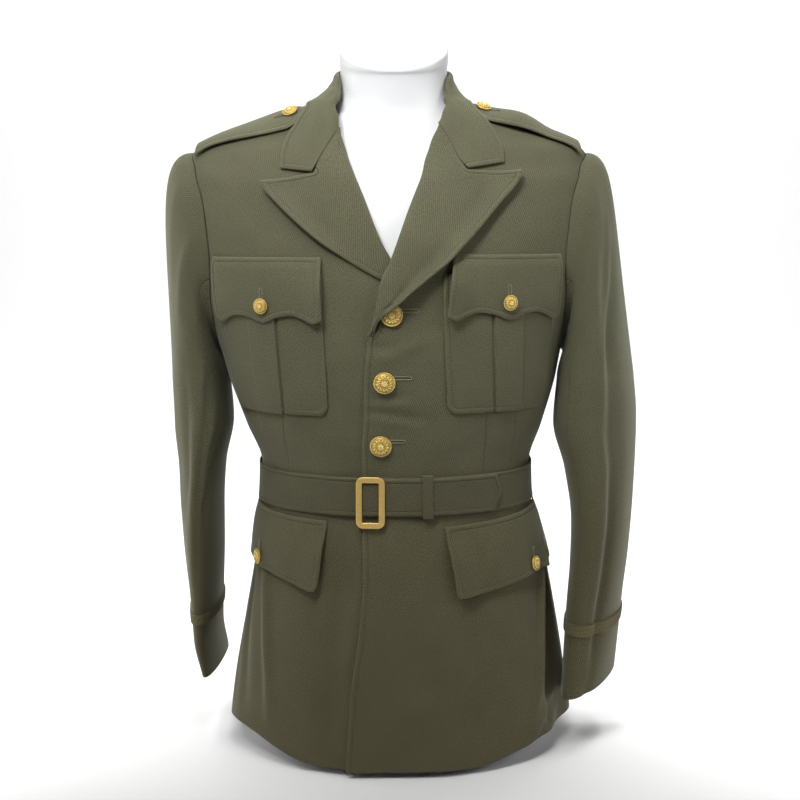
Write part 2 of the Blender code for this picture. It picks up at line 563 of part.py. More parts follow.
def sleeve_head(side, around, t):
    """A point between the armhole, t = 0, and the first level section of the sleeve, t = 1."""
    start, end = armhole_point(side, around), on_sleeve(side, around, SLEEVE_TOP_Z)
    outer = (1 + math.cos(math.radians(around))) / 2
    low_reach, high_reach = HEAD_REACHES[side]
    reach = low_reach + (high_reach - low_reach) * outer
    climb = HEAD_CLIMB[0] + (HEAD_CLIMB[1] - HEAD_CLIMB[0]) * outer
    first = start + Vector((side * reach, 0.0, 0.002 * outer))
    second = end + Vector((-side * HEAD_SLANTS[side] * climb * outer, 0.0, climb))
    return start * (1 - t) ** 3 + first * 3 * t * (1 - t) ** 2 + second * 3 * t * t * (1 - t) + end * t ** 3


def cuff_height(side, around, z, cuff_z):
    """The cuff's slant, which dies out at the braid."""
    rise = CUFF_RISE * (1 + math.cos(math.radians(around + 30))) / 2 if side > 0 else 0.0
    return z + rise * max(0.0, 1 - (z - cuff_z) / (BRAID_LEVELS[1] - cuff_z))


def sleeve_piece(name, side, first, last, steps, cuff_z, material):
    """A lengthwise piece of a sleeve, from one seam's place around it to the other's."""
    places = [first + (last - first) * i / steps for i in range(-1, steps + 2)]
    rows = [[sleeve_head(side, around, t) for around in places] for t in HEAD_STEPS]
    levels = [z for z in SLEEVE_LEVELS if z > cuff_z + 0.01] + [cuff_z]
    rows += [[on_sleeve(side, around, cuff_height(side, around, z, cuff_z)) for around in places] for z in levels]
    hub = on_sleeve(side, 0, 0.25).lerp(on_sleeve(side, 180, 0.25), 0.5)
    return sheet(name, rows, WALL, material, beyond=True, trim=(True, True), hub=(hub.x, hub.y))


def sleeve(side, material):
    name, cuff_z = ("left", LEFT_CUFF_Z) if side > 0 else ("right", RIGHT_CUFF_Z)
    sleeve_piece(f"sleeve_top_{name}", side, -TOP_SLEEVE_HALF, TOP_SLEEVE_HALF, 12, cuff_z, material)
    sleeve_piece(f"sleeve_under_{name}", side, TOP_SLEEVE_HALF, 360 - TOP_SLEEVE_HALF, 8, cuff_z, material)


def cuff_braid(side, material):
    name = "left" if side > 0 else "right"
    half = TOP_SLEEVE_HALF
    places = [-half + 2 * half * i / 12 for i in range(12)] + [half + (360 - 2 * half) * i / 8 for i in range(8)]
    rows = [[on_sleeve(side, around, z, SEAM + BRAID_WALL) for around in places] for z in BRAID_LEVELS]
    hub = on_sleeve(side, 0, BRAID_LEVELS[0]).lerp(on_sleeve(side, 180, BRAID_LEVELS[0]), 0.5)
    return sheet(f"cuff_braid_{name}", rows, BRAID_WALL, material, ring=True, hub=(hub.x, hub.y))


# ---------------------------------------------------------------- pieces: collar and lapels
def turned_back(start, middle, end, outs, side, stack):
    """One section of cloth turned back at a fold: from the fold through the middle to the outer edge."""
    points = []
    for i, (along, share) in enumerate(((0.0, 0.0), (0.16, 0.0), (0.5, 0.0), (1.0, 0.0), (1.0, 0.5), (1.0, 1.0))):
        turn = start[0] + (middle[0] - start[0]) * along + (end[0] - middle[0]) * share
        z = start[1] + (middle[1] - start[1]) * along + (end[1] - middle[1]) * share
        points.append(on_body(side * turn, z, outs[i] + stack(side * turn, z)))
    return points


def collar(material):
    """Stand and fall in one piece, from one gorge seam round the neck to the other."""
    rows = []
    for side, table in ((-1, RIGHT_COLLAR), (1, LEFT_COLLAR)):
        part = []
        between = smooth_table([(i, *values) for i, values in enumerate(table)], ("station", *COLLAR_COLUMNS))
        for i in range(2 * len(table) - 1):
            row = between(i / 2)
            fold = (row["fold_turn"], row["fold_z"])
            outs = (0.0015, 0.0052, 0.0035 + row["crown"], 0.0035 + row["crown"] * 0.8,
                    0.0034 + row["crown"] * 0.4 + row["lift"] * 0.6, 0.0034 + row["lift"])
            fall = turned_back(fold, (row["mid_turn"], row["mid_z"]), (row["edge_turn"], row["edge_z"]),
                               outs, side, no_stack)
            stand = [on_body(side * row["stand_turn"], row["stand_z"], -0.0006),
                     on_body(side * (0.25 * row["stand_turn"] + 0.75 * fold[0]),
                             0.25 * row["stand_z"] + 0.75 * fold[1], -0.0008)]
            part.append(stand + fall)
        rows.append(part)
    return sheet("collar", list(reversed(rows[0])) + rows[1][1:], WALL, material)


def lapel(side, material):
    rows = []
    for number, values in enumerate(LEFT_LAPEL if side > 0 else RIGHT_LAPEL):
        row = dict(zip(LAPEL_COLUMNS, values))
        rise, roll = row["rise"], row["roll"]
        outs = (0.0012 + rise * 0.4, 0.0029 + roll + rise * 0.5, 0.0029 + roll * 1.2 + rise * 0.8,
                0.0029 + roll * 0.6 + rise, 0.0029 + rise, 0.0029 + rise)
        stack = overlap_out if side > 0 else no_stack
        turned = turned_back((row["roll_turn"], row["roll_z"]), (row["mid_turn"], row["mid_z"]),
                             (row["edge_turn"], row["edge_z"]), outs, side, stack)
        lip_turn = row["roll_turn"] + (LIP_TURN if number else -0.2)
        lip_out = -0.0028 if number else 0.0026
        lip = on_body(side * lip_turn, row["roll_z"], lip_out + stack(side * lip_turn, row["roll_z"]))
        rows.append([lip] + turned)
    return sheet("lapel_left" if side > 0 else "lapel_right", rows, LAPEL_WALL, material)


# ---------------------------------------------------------------- pieces: pockets and flaps
def side_name(side):
    return "left" if side > 0 else "right"


def on_front(side, girth, z, out):
    """A point on a front panel's face, by girth, moved out."""
    turn = side * turn_at(girth, z)
    return on_body(turn, z, out + (overlap_out(turn, z) if side > 0 else 0.0))


def breast_pocket(values, material):
    """A patch pocket with rounded lower corners and a box pleat down its middle."""
    row = dict(zip(POCKET_COLUMNS, values))
    step = 0.0012
    pleat = [(row["pleat"] - PLEAT_HALF - step, 0.0), (row["pleat"] - PLEAT_HALF, PLEAT_RISE),
             (row["pleat"], PLEAT_RISE), (row["pleat"] + PLEAT_HALF, PLEAT_RISE),
             (row["pleat"] + PLEAT_HALF + step, 0.0)]
    levels = [POCKET_TOP_Z + (row["bottom_z"] + POCKET_CORNER - POCKET_TOP_Z) * i / 6 for i in range(7)]
    levels += [row["bottom_z"] + POCKET_CORNER * 0.35, row["bottom_z"]]
    rows = []
    for z in levels:
        down = max(0.0, row["bottom_z"] + POCKET_CORNER - z)
        cut = POCKET_CORNER - math.sqrt(max(0.0, POCKET_CORNER ** 2 - down ** 2))
        first, last = row["inner"] + cut, row["outer"] - cut
        near = [(first + (pleat[0][0] - first) * i / 3, 0.0) for i in range(3)]
        far = [(last - (last - pleat[-1][0]) * i / 3, 0.0) for i in (2, 1, 0)]
        rows.append([on_front(row["side"], girth, z, POCKET_OUT + rise) for girth, rise in near + pleat + far])
    return sheet(f"breast_pocket_{side_name(row['side'])}", rows, TRIM_WALL, material)


def breast_flap(values, material):
    row = dict(zip(FLAP_COLUMNS, values))
    rows = []
    for share, out in zip(FLAP_ROWS, FLAP_OUT):
        part = []
        for across in [edge[0] for edge in FLAP_EDGE]:
            low = row["point_z"] + flap_edge(across)["height"]
            first = row["inner_top"] + (row["inner"] - row["inner_top"]) * share
            girth = first + (row["outer"] - first) * across
            part.append(on_front(row["side"], girth, row["top_z"] + (low - row["top_z"]) * share, out))
        rows.append(part)
    return sheet(f"breast_flap_{side_name(row['side'])}", rows, TRIM_WALL, material)


def hip_flap(values, material):
    row = dict(zip(HIP_COLUMNS, values))
    rows = []
    for share, out in zip((0.0, 0.3, 0.86, 1.0), HIP_OUT):
        front = row["front_top"] + (row["front_low"] - row["front_top"]) * share
        back = row["back_top"] + (row["back_low"] - row["back_top"]) * share
        corner = 0.006 if share == 1.0 else 0.0
        part = []
        for i in range(11):
            across = i / 10
            girth = front + corner + (back - front - 2 * corner) * across
            high = row["front_z"] + (row["back_z"] - row["front_z"]) * across
            low = row["front_low_z"] + (row["back_low_z"] - row["front_low_z"]) * ease(across, -0.3, 0.8)
            part.append(on_front(row["side"], girth, high + (low - high) * share, out))
        rows.append(part)
    return sheet(f"hip_flap_{side_name(row['side'])}", rows, TRIM_WALL, material)


# ---------------------------------------------------------------- pieces: shoulder straps
def strap_middle(row, share):
    """The y of a strap's middle line, from the armhole, share = 0, to the tip, share = 1."""
    return row["armhole_y"] + (row["tip_y"] - row["armhole_y"]) * share - row["bend"] * 4 * share * (1 - share)


def strap_bow(row, share):
    """How far a strap stands off more between its ends."""
    away = min(1.0, abs(share - row["bow_share"]) / 0.34)
    return row["bow"] * math.cos(away * math.pi / 2) ** 2


def shoulder_strap(values, material):
    """A strap along the shoulder, from the armhole seam to a pointed, rounded tip by the collar."""
    row = dict(zip(STRAP_COLUMNS, values))
    rows = []
    shape = ((0.0, 1.0), (0.15, 1.0), (0.32, 1.0), (0.5, 1.0), (0.68, 1.0), (0.84, 1.0), (0.94, 0.78), (1.0, 0.30))
    for (share, narrow), out in zip(shape, STRAP_OUTS):
        x = row["armhole_x"] + (row["tip_x"] - row["armhole_x"]) * share
        half = (STRAP_WIDTHS[0] + (STRAP_WIDTHS[1] - STRAP_WIDTHS[0]) * share) / 2 * narrow
        middle = strap_middle(row, share)
        rows.append([on_shoulder(x, middle + half * across, out + strap_bow(row, share) * (1 - 0.5 * across ** 2))
                     for across in (-1, -0.5, 0, 0.5, 1)])
    return sheet(f"epaulette_{side_name(row['side'])}", rows, TRIM_WALL, material)


# ---------------------------------------------------------------- pieces: belt
def belt_out(turn):
    """The belt's lift over both fronts: it eases down from the left front's edge to the right front."""
    over = overlap_lift(BELT_LOW_Z)["lift"] * ease(turn, -34.0, -14.0) * (1 - ease(turn, 8.0, 26.0))
    return BELT_OUT + over + KEEPER_ROOM * ease(turn, 0.0, 8.0) * (1 - ease(turn, 12.0, 22.0))


def belt_strip(name, turns, extra, material, ring=False, levels=(BELT_HIGH_Z, 0.2970, BELT_LOW_Z)):
    rows = [[on_body(turn, z, belt_out(turn) + extra) for turn in turns] for z in levels]
    return sheet(name, rows, TRIM_WALL, material, ring=ring)


def belt(material):
    belt_strip("belt", [-180 + 10 * i for i in range(36)], 0.0, material, ring=True)


def belt_end(material):
    """The free end: it comes out of the buckle, lies on the belt and ends in a blunt point."""
    first, last = BELT_END_TURNS
    rows = []
    for z, reach in ((BELT_HIGH_Z - 0.0008, -2.6), (0.2985, 0.6), (BELT_LOW_Z + 0.0008, -4.0)):
        turns = [first + (last + reach - first) * i / 8 for i in range(9)]
        rows.append([on_body(turn, z, belt_out(turn) + TRIM_WALL + SEAM * 2) for turn in turns])
    return sheet("belt_end", rows, TRIM_WALL, material)


def belt_keeper(material):
    """A loop of cloth round both layers of the belt, closed behind it."""
    front = TRIM_WALL + SEAM * 4 + KEEPER_WALL
    behind = -(TRIM_WALL + SEAM * 2.5 + KEEPER_WALL)
    low, high = BELT_LOW_Z - 0.0024, BELT_HIGH_Z + 0.0024
    loop = ((high, behind * 0.5), (high, front * 0.5), (high - 0.0016, front), (0.2970, front), (low + 0.0016, front),
            (low, front * 0.5), (low, behind * 0.5), (low + 0.0016, behind), (0.2970, behind), (high - 0.0016, behind))
    rows = []
    for i in range(4):
        turn = KEEPER_TURNS[0] + (KEEPER_TURNS[1] - KEEPER_TURNS[0]) * i / 3
        rows.append([on_body(turn, z, belt_out(turn) + out) for z, out in loop])
    middle = (rows[1][3] + rows[1][8]) / 2
    return sheet("belt_keeper", rows, KEEPER_WALL, material, ring=True, hub=(middle.x, middle.y))


def face_frame(turn, z, out):
    """A frame on the body's face: x along the cloth, y up it, z outwards."""
    point, normal = on_body(turn, z, out), body_normal(turn, z)
    along = Vector((0.0, 0.0, 1.0)).cross(normal).normalized()
    up = normal.cross(along)
    frame = Matrix((along, up, normal)).transposed().to_4x4()
    frame.translation = point
    return frame


def rounded_outline(width, height, corner, steps=4):
    points = []
    for x_sign, y_sign, start in ((1, 1, 0), (-1, 1, 90), (-1, -1, 180), (1, -1, 270)):
        centre = Vector((x_sign * (width / 2 - corner), y_sign * (height / 2 - corner)))
        for i in range(steps + 1):
            angle = math.radians(start + 90 * i / steps)
            points.append(centre + Vector((math.cos(angle), math.sin(angle))) * corner)
    return points


def buckle(material):
    """A frame with rounded corners: the outer and inner outlines, raised and bevelled."""
    size = BUCKLE
    outer = rounded_outline(size["width"], size["height"], size["corner"])
    inner = rounded_outline(size["width"] - 2 * size["bar"], size["height"] - 2 * size["bar"],
                            size["corner"] - size["bar"] * 0.6)
    edge = size["thick"] * 0.35
    loops = []
    for outline, inset, height in ((inner, 0, 0), (outer, 0, 0), (outer, 0, size["thick"] - edge),
                                   (outer, -edge, size["thick"]), (inner, edge, size["thick"]),
                                   (inner, 0, size["thick"] - edge)):
        half = Vector((size["width"] / 2, size["height"] / 2)).length
        loops.append([Vector((*(point * (1 + inset / half)), height)) for point in outline])
    shape = bmesh.new()
    rings = [[shape.verts.new(point) for point in loop] for loop in loops]
    for low, high in zip(rings, rings[1:] + rings[:1]):
        for i in range(len(low)):
            j = (i + 1) % len(low)
            shape.faces.new((low[i], low[j], high[j], high[i]))
    bmesh.ops.recalc_face_normals(shape, faces=shape.faces)
    mesh = bpy.data.meshes.new("buckle")
    shape.to_mesh(mesh)
    shape.free()
    made = add_object("buckle", mesh, material)
    lift = belt_out(size["turn"]) + TRIM_WALL + SEAM * 3.5
    made.matrix_world = face_frame(size["turn"], size["z"], lift)
    return made


# ---------------------------------------------------------------- pieces: buttons
def button(name, frame, kind, material):
    """A domed button with a rolled rim and a short shank, turned from its profile."""
    shape = bmesh.new()
    rings = []
    for share, height in BUTTON_PROFILE:
        radius, z = share * kind["radius"], height * kind["height"]
        if share == 0.0:
            rings.append([shape.verts.new((0.0, 0.0, z))])
            continue
        rings.append([shape.verts.new((radius * math.cos(2 * math.pi * i / kind["around"]),
                                       radius * math.sin(2 * math.pi * i / kind["around"]), z))
                      for i in range(kind["around"])])
    for high, low in zip(rings, rings[1:]):
        for i in range(kind["around"]):
            j = (i + 1) % kind["around"]
            if len(high) == 1:
                shape.faces.new((high[0], low[i], low[j]))
            else:
                shape.faces.new((high[i], low[i], low[j], high[j]))
    shape.faces.new(list(reversed(rings[-1])))
    mesh = bpy.data.meshes.new(name)
    shape.to_mesh(mesh)
    shape.free()
    made = add_object(name, mesh, material)
    made.matrix_world = frame
    return made


def buttons(material):
    for number, (turn, z) in enumerate(COAT_BUTTONS, 1):
        frame = face_frame(turn, z, overlap_out(turn, z) + SEAM)
        button(f"coat_button_{number}", frame, COAT_BUTTON, material)
    for values in BREAST_FLAPS:
        row = dict(zip(FLAP_COLUMNS, values))
        z = row["point_z"] + 0.0175
        turn = row["side"] * turn_at((row["inner"] + row["outer"]) / 2, z)
        lift = FLAP_OUT[2] + SEAM + (overlap_out(turn, z) if row["side"] > 0 else 0.0)
        button(f"breast_button_{side_name(row['side'])}", face_frame(turn, z, lift), POCKET_BUTTON, material)
    for side, girth, z in HIP_BUTTONS:
        frame = face_frame(side * turn_at(girth, z), z, HIP_OUT[2] + SEAM + 0.0004)
        button(f"hip_button_{side_name(side)}", frame, POCKET_BUTTON, material)
    for values in STRAPS:
        row = dict(zip(STRAP_COLUMNS, values))
        share = 1 - row["side"] * STRAP_BUTTON_INSET / (row["armhole_x"] - row["tip_x"])
        x, y = row["tip_x"] + row["side"] * STRAP_BUTTON_INSET, strap_middle(row, share)
        point = on_shoulder(x, y, STRAP_OUTS[-3] + SEAM * 2)
        normal = (point - on_shoulder(x, y)).normalized()
        along = Vector((0.0, 1.0, 0.0)).cross(normal).normalized()
        frame = Matrix((along, normal.cross(along), normal)).transposed().to_4x4()
        frame.translation = point
        button(f"epaulette_button_{side_name(row['side'])}", frame, POCKET_BUTTON, material)


# ---------------------------------------------------------------- the dress form
def dress_form(material):
    """A whole torso with rounded shoulders, a flat base and a neck cut off at a slope."""
    at = smooth_table(FORM, BODY_COLUMNS)
    turns = [-180 + 360 * i / FORM_AROUND for i in range(FORM_AROUND)]
    shape = bmesh.new()
    rings = [[shape.verts.new(section_point(at(row[0]), turn, row[0])) for turn in turns] for row in FORM]
    for values in NECK_TOP:
        row = dict(zip(NECK_COLUMNS, values))
        ring = []
        for turn in turns:
            angle = math.radians(turn)
            y = -row["depth"] * math.cos(angle)
            ring.append(shape.verts.new((FORM[-1][1] + row["half"] * math.sin(angle), FORM[-1][2] + y,
                                         row["z"] + row["slope"] * y)))
        rings.append(ring)
    for low, high in zip(rings, rings[1:]):
        for i in range(FORM_AROUND):
            j = (i + 1) % FORM_AROUND
            shape.faces.new((low[i], low[j], high[j], high[i]))
    shape.faces.new(list(reversed(rings[0])))
    shape.faces.new(rings[-1])
    bmesh.ops.recalc_face_normals(shape, faces=shape.faces)
    mesh = bpy.data.meshes.new("dress_form")
    shape.to_mesh(mesh)
    shape.free()
    return add_object("dress_form", mesh, material)


# ---------------------------------------------------------------- the whole
def main():
    for old in list(bpy.data.objects):
        bpy.data.objects.remove(old, do_unlink=True)
    cloth = finish("Olive barathea", (0.110, 0.108, 0.068), 0.85)
    braid = finish("Olive braid", (0.165, 0.158, 0.080), 0.70)
    gilt = finish("Gilt brass", (0.83, 0.62, 0.22), 0.28, 1.0)
    plastic = finish("White moulded plastic", (0.86, 0.87, 0.88), 0.35)
    for side in (1, -1):
        front_panel(side, cloth)
        back_panel(side, cloth)
        sleeve(side, cloth)
        lapel(side, cloth)
        cuff_braid(side, braid)
    collar(cloth)
    for values in POCKETS:
        breast_pocket(values, cloth)
    for values in BREAST_FLAPS:
        breast_flap(values, cloth)
    for values in HIP_FLAPS:
        hip_flap(values, cloth)
    for values in STRAPS:
        shoulder_strap(values, cloth)
    belt(cloth)
    belt_end(cloth)
    belt_keeper(cloth)
    buckle(gilt)
    buttons(gilt)
    dress_form(plastic)


main()
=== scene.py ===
"""Looks of a military dress tunic on a limbless dress form, laid out as an add-on.

Metres, +Z up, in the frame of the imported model. The front faces -Y and the wearer's left is +X.
A turn is in degrees round the body: 0 is the front, 90 the wearer's left side and 180 the back.
Every cloth piece is a curved sheet on the body surface, `on_body`, or on a sleeve, `on_sleeve`.
"""

import math

import bpy
import numpy as np
from mathutils import Matrix, Vector
from mathutils.kdtree import KDTree


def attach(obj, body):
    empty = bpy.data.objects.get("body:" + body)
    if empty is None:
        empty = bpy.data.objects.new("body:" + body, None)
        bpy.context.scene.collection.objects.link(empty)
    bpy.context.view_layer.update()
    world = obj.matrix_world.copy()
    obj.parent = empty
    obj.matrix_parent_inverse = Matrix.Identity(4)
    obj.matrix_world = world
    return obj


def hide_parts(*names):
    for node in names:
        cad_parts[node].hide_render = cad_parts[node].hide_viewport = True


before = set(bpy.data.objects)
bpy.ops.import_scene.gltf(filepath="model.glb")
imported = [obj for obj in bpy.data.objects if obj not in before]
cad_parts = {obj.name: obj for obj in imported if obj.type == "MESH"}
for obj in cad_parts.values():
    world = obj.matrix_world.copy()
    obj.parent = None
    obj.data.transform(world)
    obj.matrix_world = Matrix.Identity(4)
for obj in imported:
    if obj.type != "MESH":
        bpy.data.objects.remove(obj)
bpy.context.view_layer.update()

bl_info = {
    "name": "Military dress tunic",
    "version": (1, 0, 0),
    "blender": (4, 5, 0),
    "location": "3D View > Sidebar > Tunic",
    "description": "Builds the cloth, sewing and gilt of a belted dress tunic on a dress form",
    "category": "Object",
}

# ---------------------------------------------------------------- driving dimensions
def rows_of(columns, *rows):
    """A table's rows, each by its columns' names."""
    return [dict(zip(columns.split(), row)) for row in rows]


WALL = 0.0020               # main cloth
TRIM_WALL = 0.0016          # pockets, flaps, belt, straps
LAPEL_WALL = 0.0022         # cloth and facing, pressed
BRAID_WALL = 0.0012
SEAM = 0.0003               # between neighbouring pieces
HEM_Z = 0.007
HEM_RISES = {1: (0.0203, 0.35, 0.90), -1: (0.0270, 0.38, 0.95)}   # at each side, and the sines it eases between
UNDERARM_Z = 0.440
SHOULDER_Z = 0.6535         # shoulder point, where the sleeve head starts
NECK_Z = 0.7205             # neck point, where the shoulder seam meets the collar
ARMHOLE_HALF_DEPTH = 0.075
ARMHOLE_MIDDLE, ARMHOLE_HALF = (SHOULDER_Z + UNDERARM_Z) / 2, (SHOULDER_Z - UNDERARM_Z) / 2
BELT_LOW_Z = 0.2765
BELT_HIGH_Z = 0.3175
LEFT_CUFF_Z = 0.057
RIGHT_CUFF_Z = 0.065
BRAID_LEVELS = (0.1445, 0.1315)

# The tunic's outer face, one level section a row. Each is a superellipse: where it is widest
# (mid x, mid y), half its width there, the y of its front and back, and its power.
BODY_COLUMNS = "z mid_x mid_y half front back power".split()
BODY = (
    (0.0000, 0.0045, 0.012, 0.2010, -0.147, 0.152, 2.15),
    (0.0600, 0.0047, 0.010, 0.1910, -0.144, 0.150, 2.15),
    (0.1300, 0.0050, 0.006, 0.1790, -0.139, 0.145, 2.20),
    (0.2000, 0.0055, 0.003, 0.1655, -0.132, 0.136, 2.25),
    (0.2500, 0.0022, 0.001, 0.1570, -0.126, 0.124, 2.30),
    (0.2850, 0.0005, 0.000, 0.1500, -0.122, 0.112, 2.30),
    (0.3150, 0.0005, 0.000, 0.1490, -0.122, 0.108, 2.30),
    (0.3600, -0.0010, 0.000, 0.1640, -0.127, 0.113, 2.30),
    (0.4100, -0.0030, 0.000, 0.1800, -0.134, 0.121, 2.30),
    (0.4400, -0.0045, 0.000, 0.1870, -0.137, 0.125, 2.30),
    (0.4700, -0.0060, 0.000, 0.1963, -0.138, 0.127, 2.30),
    (0.5000, -0.0070, 0.000, 0.2065, -0.137, 0.127, 2.30),
    (0.5400, -0.0075, 0.000, 0.2140, -0.132, 0.126, 2.30),
    (0.5800, -0.0078, 0.000, 0.2210, -0.122, 0.120, 2.30),
    (0.6200, -0.0080, 0.000, 0.2230, -0.105, 0.108, 2.30),
    (0.6400, -0.0080, 0.000, 0.2180, -0.093, 0.098, 2.25),
    (0.6535, -0.0060, 0.000, 0.2130, -0.084, 0.090, 2.20),
    (0.6800, -0.0025, 0.002, 0.1600, -0.069, 0.076, 2.10),
    (0.7000, -0.0055, 0.003, 0.1050, -0.060, 0.068, 2.00),
    (0.7065, -0.0050, 0.003, 0.0835, -0.0575, 0.066, 2.00),
    (0.7120, -0.0040, 0.004, 0.0750, -0.0555, 0.064, 2.00),
    (0.7205, -0.0025, 0.004, 0.0660, -0.052, 0.062, 2.00),
    (0.7350, -0.0015, 0.004, 0.0600, -0.050, 0.058, 2.00),
    (0.7550, -0.0010, 0.004, 0.0590, -0.052, 0.058, 2.00),
)

# The skirt's largest folds: the turn each runs down at, top and bottom, its half width in
# degrees, and how far it stands out at the bottom, or goes in.
FOLDS = rows_of(
    "low_turn high_turn low_z high_z spread out",
    (70.0, 61.0, 0.000, 0.235, 16.0, -0.0085),
    (98.0, 94.0, 0.000, 0.230, 13.0, 0.0030),
    (-64.0, -60.0, 0.000, 0.235, 14.0, 0.0040),
    (-88.0, -82.0, 0.000, 0.230, 15.0, -0.0045),
    (122.0, 118.0, 0.000, 0.240, 16.0, 0.0050),
    (150.0, 152.0, 0.000, 0.240, 15.0, -0.0040),
    (-120.0, -122.0, 0.000, 0.240, 17.0, 0.0050),
    (-148.0, -150.0, 0.000, 0.240, 15.0, -0.0040),
)

# Where the front panels end: the turn of the left front's edge, which lies on top, and of the
# right front's, which runs on under it. Above the V they end just behind the roll line.
FRONT_EDGE_COLUMNS = "z left_edge right_edge".split()
FRONT_EDGE = (
    (0.0070, -14.2, 8.0),
    (0.0830, -14.0, 8.0),
    (0.1430, -12.0, 8.0),
    (0.2010, -11.0, 8.0),
    (0.2640, -10.2, 8.0),
    (0.3230, -10.1, 8.0),
    (0.3850, -7.4, 8.0),
    (0.4280, -6.1, 8.0),
    (0.4464, -5.2, 7.6),
    (0.4655, -4.2, 7.0),
    (0.4680, -2.5, 6.9),
    (0.4820, -1.3, 6.0),
    (0.4960, -0.2, 4.5),
    (0.5215, 1.4, 0.5),
    (0.5470, 3.6, -2.4),
    (0.5660, 4.9, -3.8),
    (0.5900, 6.7, -5.8),
    (0.6180, 9.4, -8.6),
    (0.6430, 12.8, -12.6),
    (0.6680, 17.5, -18.4),
    (0.6870, 26.0, -26.5),
    (0.7000, 36.0, -36.0),
    (0.7205, 62.0, -62.0),
)
# The left front's lift where it lies on the right front and, near the V, on its lapel too.
OVERLAP_COLUMNS = "z lift".split()
OVERLAP = ((0.00, 0.0028), (0.44, 0.0028), (0.49, 0.0035), (0.52, 0.0062), (0.555, 0.0060),
           (0.585, 0.0030), (0.61, 0.0010), (0.64, 0.0), (0.73, 0.0))
OVERLAP_TURNS = (12.0, 25.0)        # full lift up to the first turn, none from the second

# A sleeve from the armpit down, one level section a row: its middle, half its thickness across
# and half its depth front to back, and how many degrees its front edge leans in to the body.
SLEEVE_COLUMNS = "z mid_x mid_y half_x half_y lean".split()
LEFT_SLEEVE = (
    (0.0570, 0.2180, -0.024, 0.0231, 0.061, 25.0),
    (0.1100, 0.2222, -0.018, 0.0257, 0.063, 23.0),
    (0.1600, 0.2264, -0.012, 0.0275, 0.067, 21.0),
    (0.2100, 0.2313, -0.007, 0.0296, 0.071, 19.0),
    (0.2600, 0.2336, -0.002, 0.0318, 0.075, 18.0),
    (0.3100, 0.2310, 0.002, 0.0370, 0.079, 18.0),
    (0.3600, 0.2250, 0.004, 0.0428, 0.081, 21.0),
    (0.4100, 0.2245, 0.004, 0.0390, 0.082, 20.0),
)
RIGHT_SLEEVE = (
    (0.0650, -0.2128, 0.050, 0.0088, 0.070, -3.0),
    (0.1100, -0.2194, 0.042, 0.0124, 0.072, -2.0),
    (0.1600, -0.2195, 0.033, 0.0173, 0.074, 0.0),
    (0.2100, -0.2197, 0.025, 0.0212, 0.075, 1.0),
    (0.2600, -0.2197, 0.018, 0.0231, 0.077, 2.0),
    (0.3100, -0.2178, 0.013, 0.0256, 0.079, 3.0),
    (0.3600, -0.2145, 0.010, 0.0320, 0.080, 3.0),
    (0.4100, -0.2170, 0.010, 0.0310, 0.082, 3.0),
)
SLEEVE_TOP_Z = 0.410
SLEEVE_POWER = 0.92
TOP_SLEEVE_HALF = 105.0             # the top sleeve reaches this far round, each way from outside
HEAD_REACHES = {1: (0.006, 0.040), -1: (0.006, 0.044)}   # how far each leaves the armhole: under, over
HEAD_CLIMB = (0.010, 0.160)         # how far up its curve starts from the first section
HEAD_SLANTS = {1: 0.150, -1: -0.015}   # how much that curve leans in, on the left and on the right
CUFF_RISE = 0.016                   # the left cuff is higher outside, towards the back
# Long creases of the sleeves: side, place round the sleeve, half width in degrees, depth.
SLEEVE_CREASES = rows_of("side around spread out", (1, 62.0, 26.0, -0.0050), (1, 250.0, 30.0, -0.0040),
                         (-1, 40.0, 28.0, -0.0030), (-1, 240.0, 30.0, -0.0040))

# Collar sections from the centre back to the front end. Each turns at the fold; the stand goes
# down inside it, and the fall goes down outside, through the middle, to its outer edge. The last
# section's middle is the notch.
COLLAR_COLUMNS = "fold_turn fold_z stand_turn stand_z mid_turn mid_z edge_turn edge_z crown lift".split()
COLLAR_BACK = (
    (180.0, 0.7500, 180.0, 0.7225, 180.0, 0.7270, 180.0, 0.7000, 0.0040, 0.0),
    (150.0, 0.7490, 150.0, 0.7225, 150.0, 0.7270, 150.0, 0.7010, 0.0042, 0.0),
    (120.0, 0.7450, 120.0, 0.7225, 120.0, 0.7255, 120.0, 0.7050, 0.0050, 0.0005),
    (93.0, 0.7400, 93.0, 0.7225, 94.0, 0.7215, 95.0, 0.7055, 0.0024, 0.0005),
    (71.5, 0.7335, 72.5, 0.7222, 73.0, 0.7185, 72.0, 0.7040, 0.0022, 0.0006),
)
LEFT_COLLAR = (*COLLAR_BACK,
               (59.0, 0.7225, 61.0, 0.7210, 55.0, 0.7100, 50.0, 0.6970, 0.0022, 0.0014),
               (47.0, 0.7100, 49.0, 0.7100, 41.0, 0.6940, 37.0, 0.6780, 0.0028, 0.0012),
               (25.2, 0.6925, 27.2, 0.6925, 26.0, 0.6700, 32.0, 0.6600, 0.0022, 0.0),
               (16.5, 0.6810, 18.4, 0.6810, 19.2, 0.6325, 31.0, 0.6395, 0.0012, 0.0))
RIGHT_COLLAR = (*COLLAR_BACK,
                (57.5, 0.7220, 59.5, 0.7210, 54.0, 0.7095, 50.0, 0.6970, 0.0032, 0.0022),
                (41.0, 0.7080, 43.0, 0.7080, 38.5, 0.6935, 37.0, 0.6780, 0.0028, 0.0012),
                (23.0, 0.6885, 25.0, 0.6885, 24.5, 0.6680, 29.5, 0.6560, 0.0022, 0.0),
                (16.75, 0.6731, 18.6, 0.6731, 17.3, 0.6290, 26.7, 0.6330, 0.0012, 0.0))

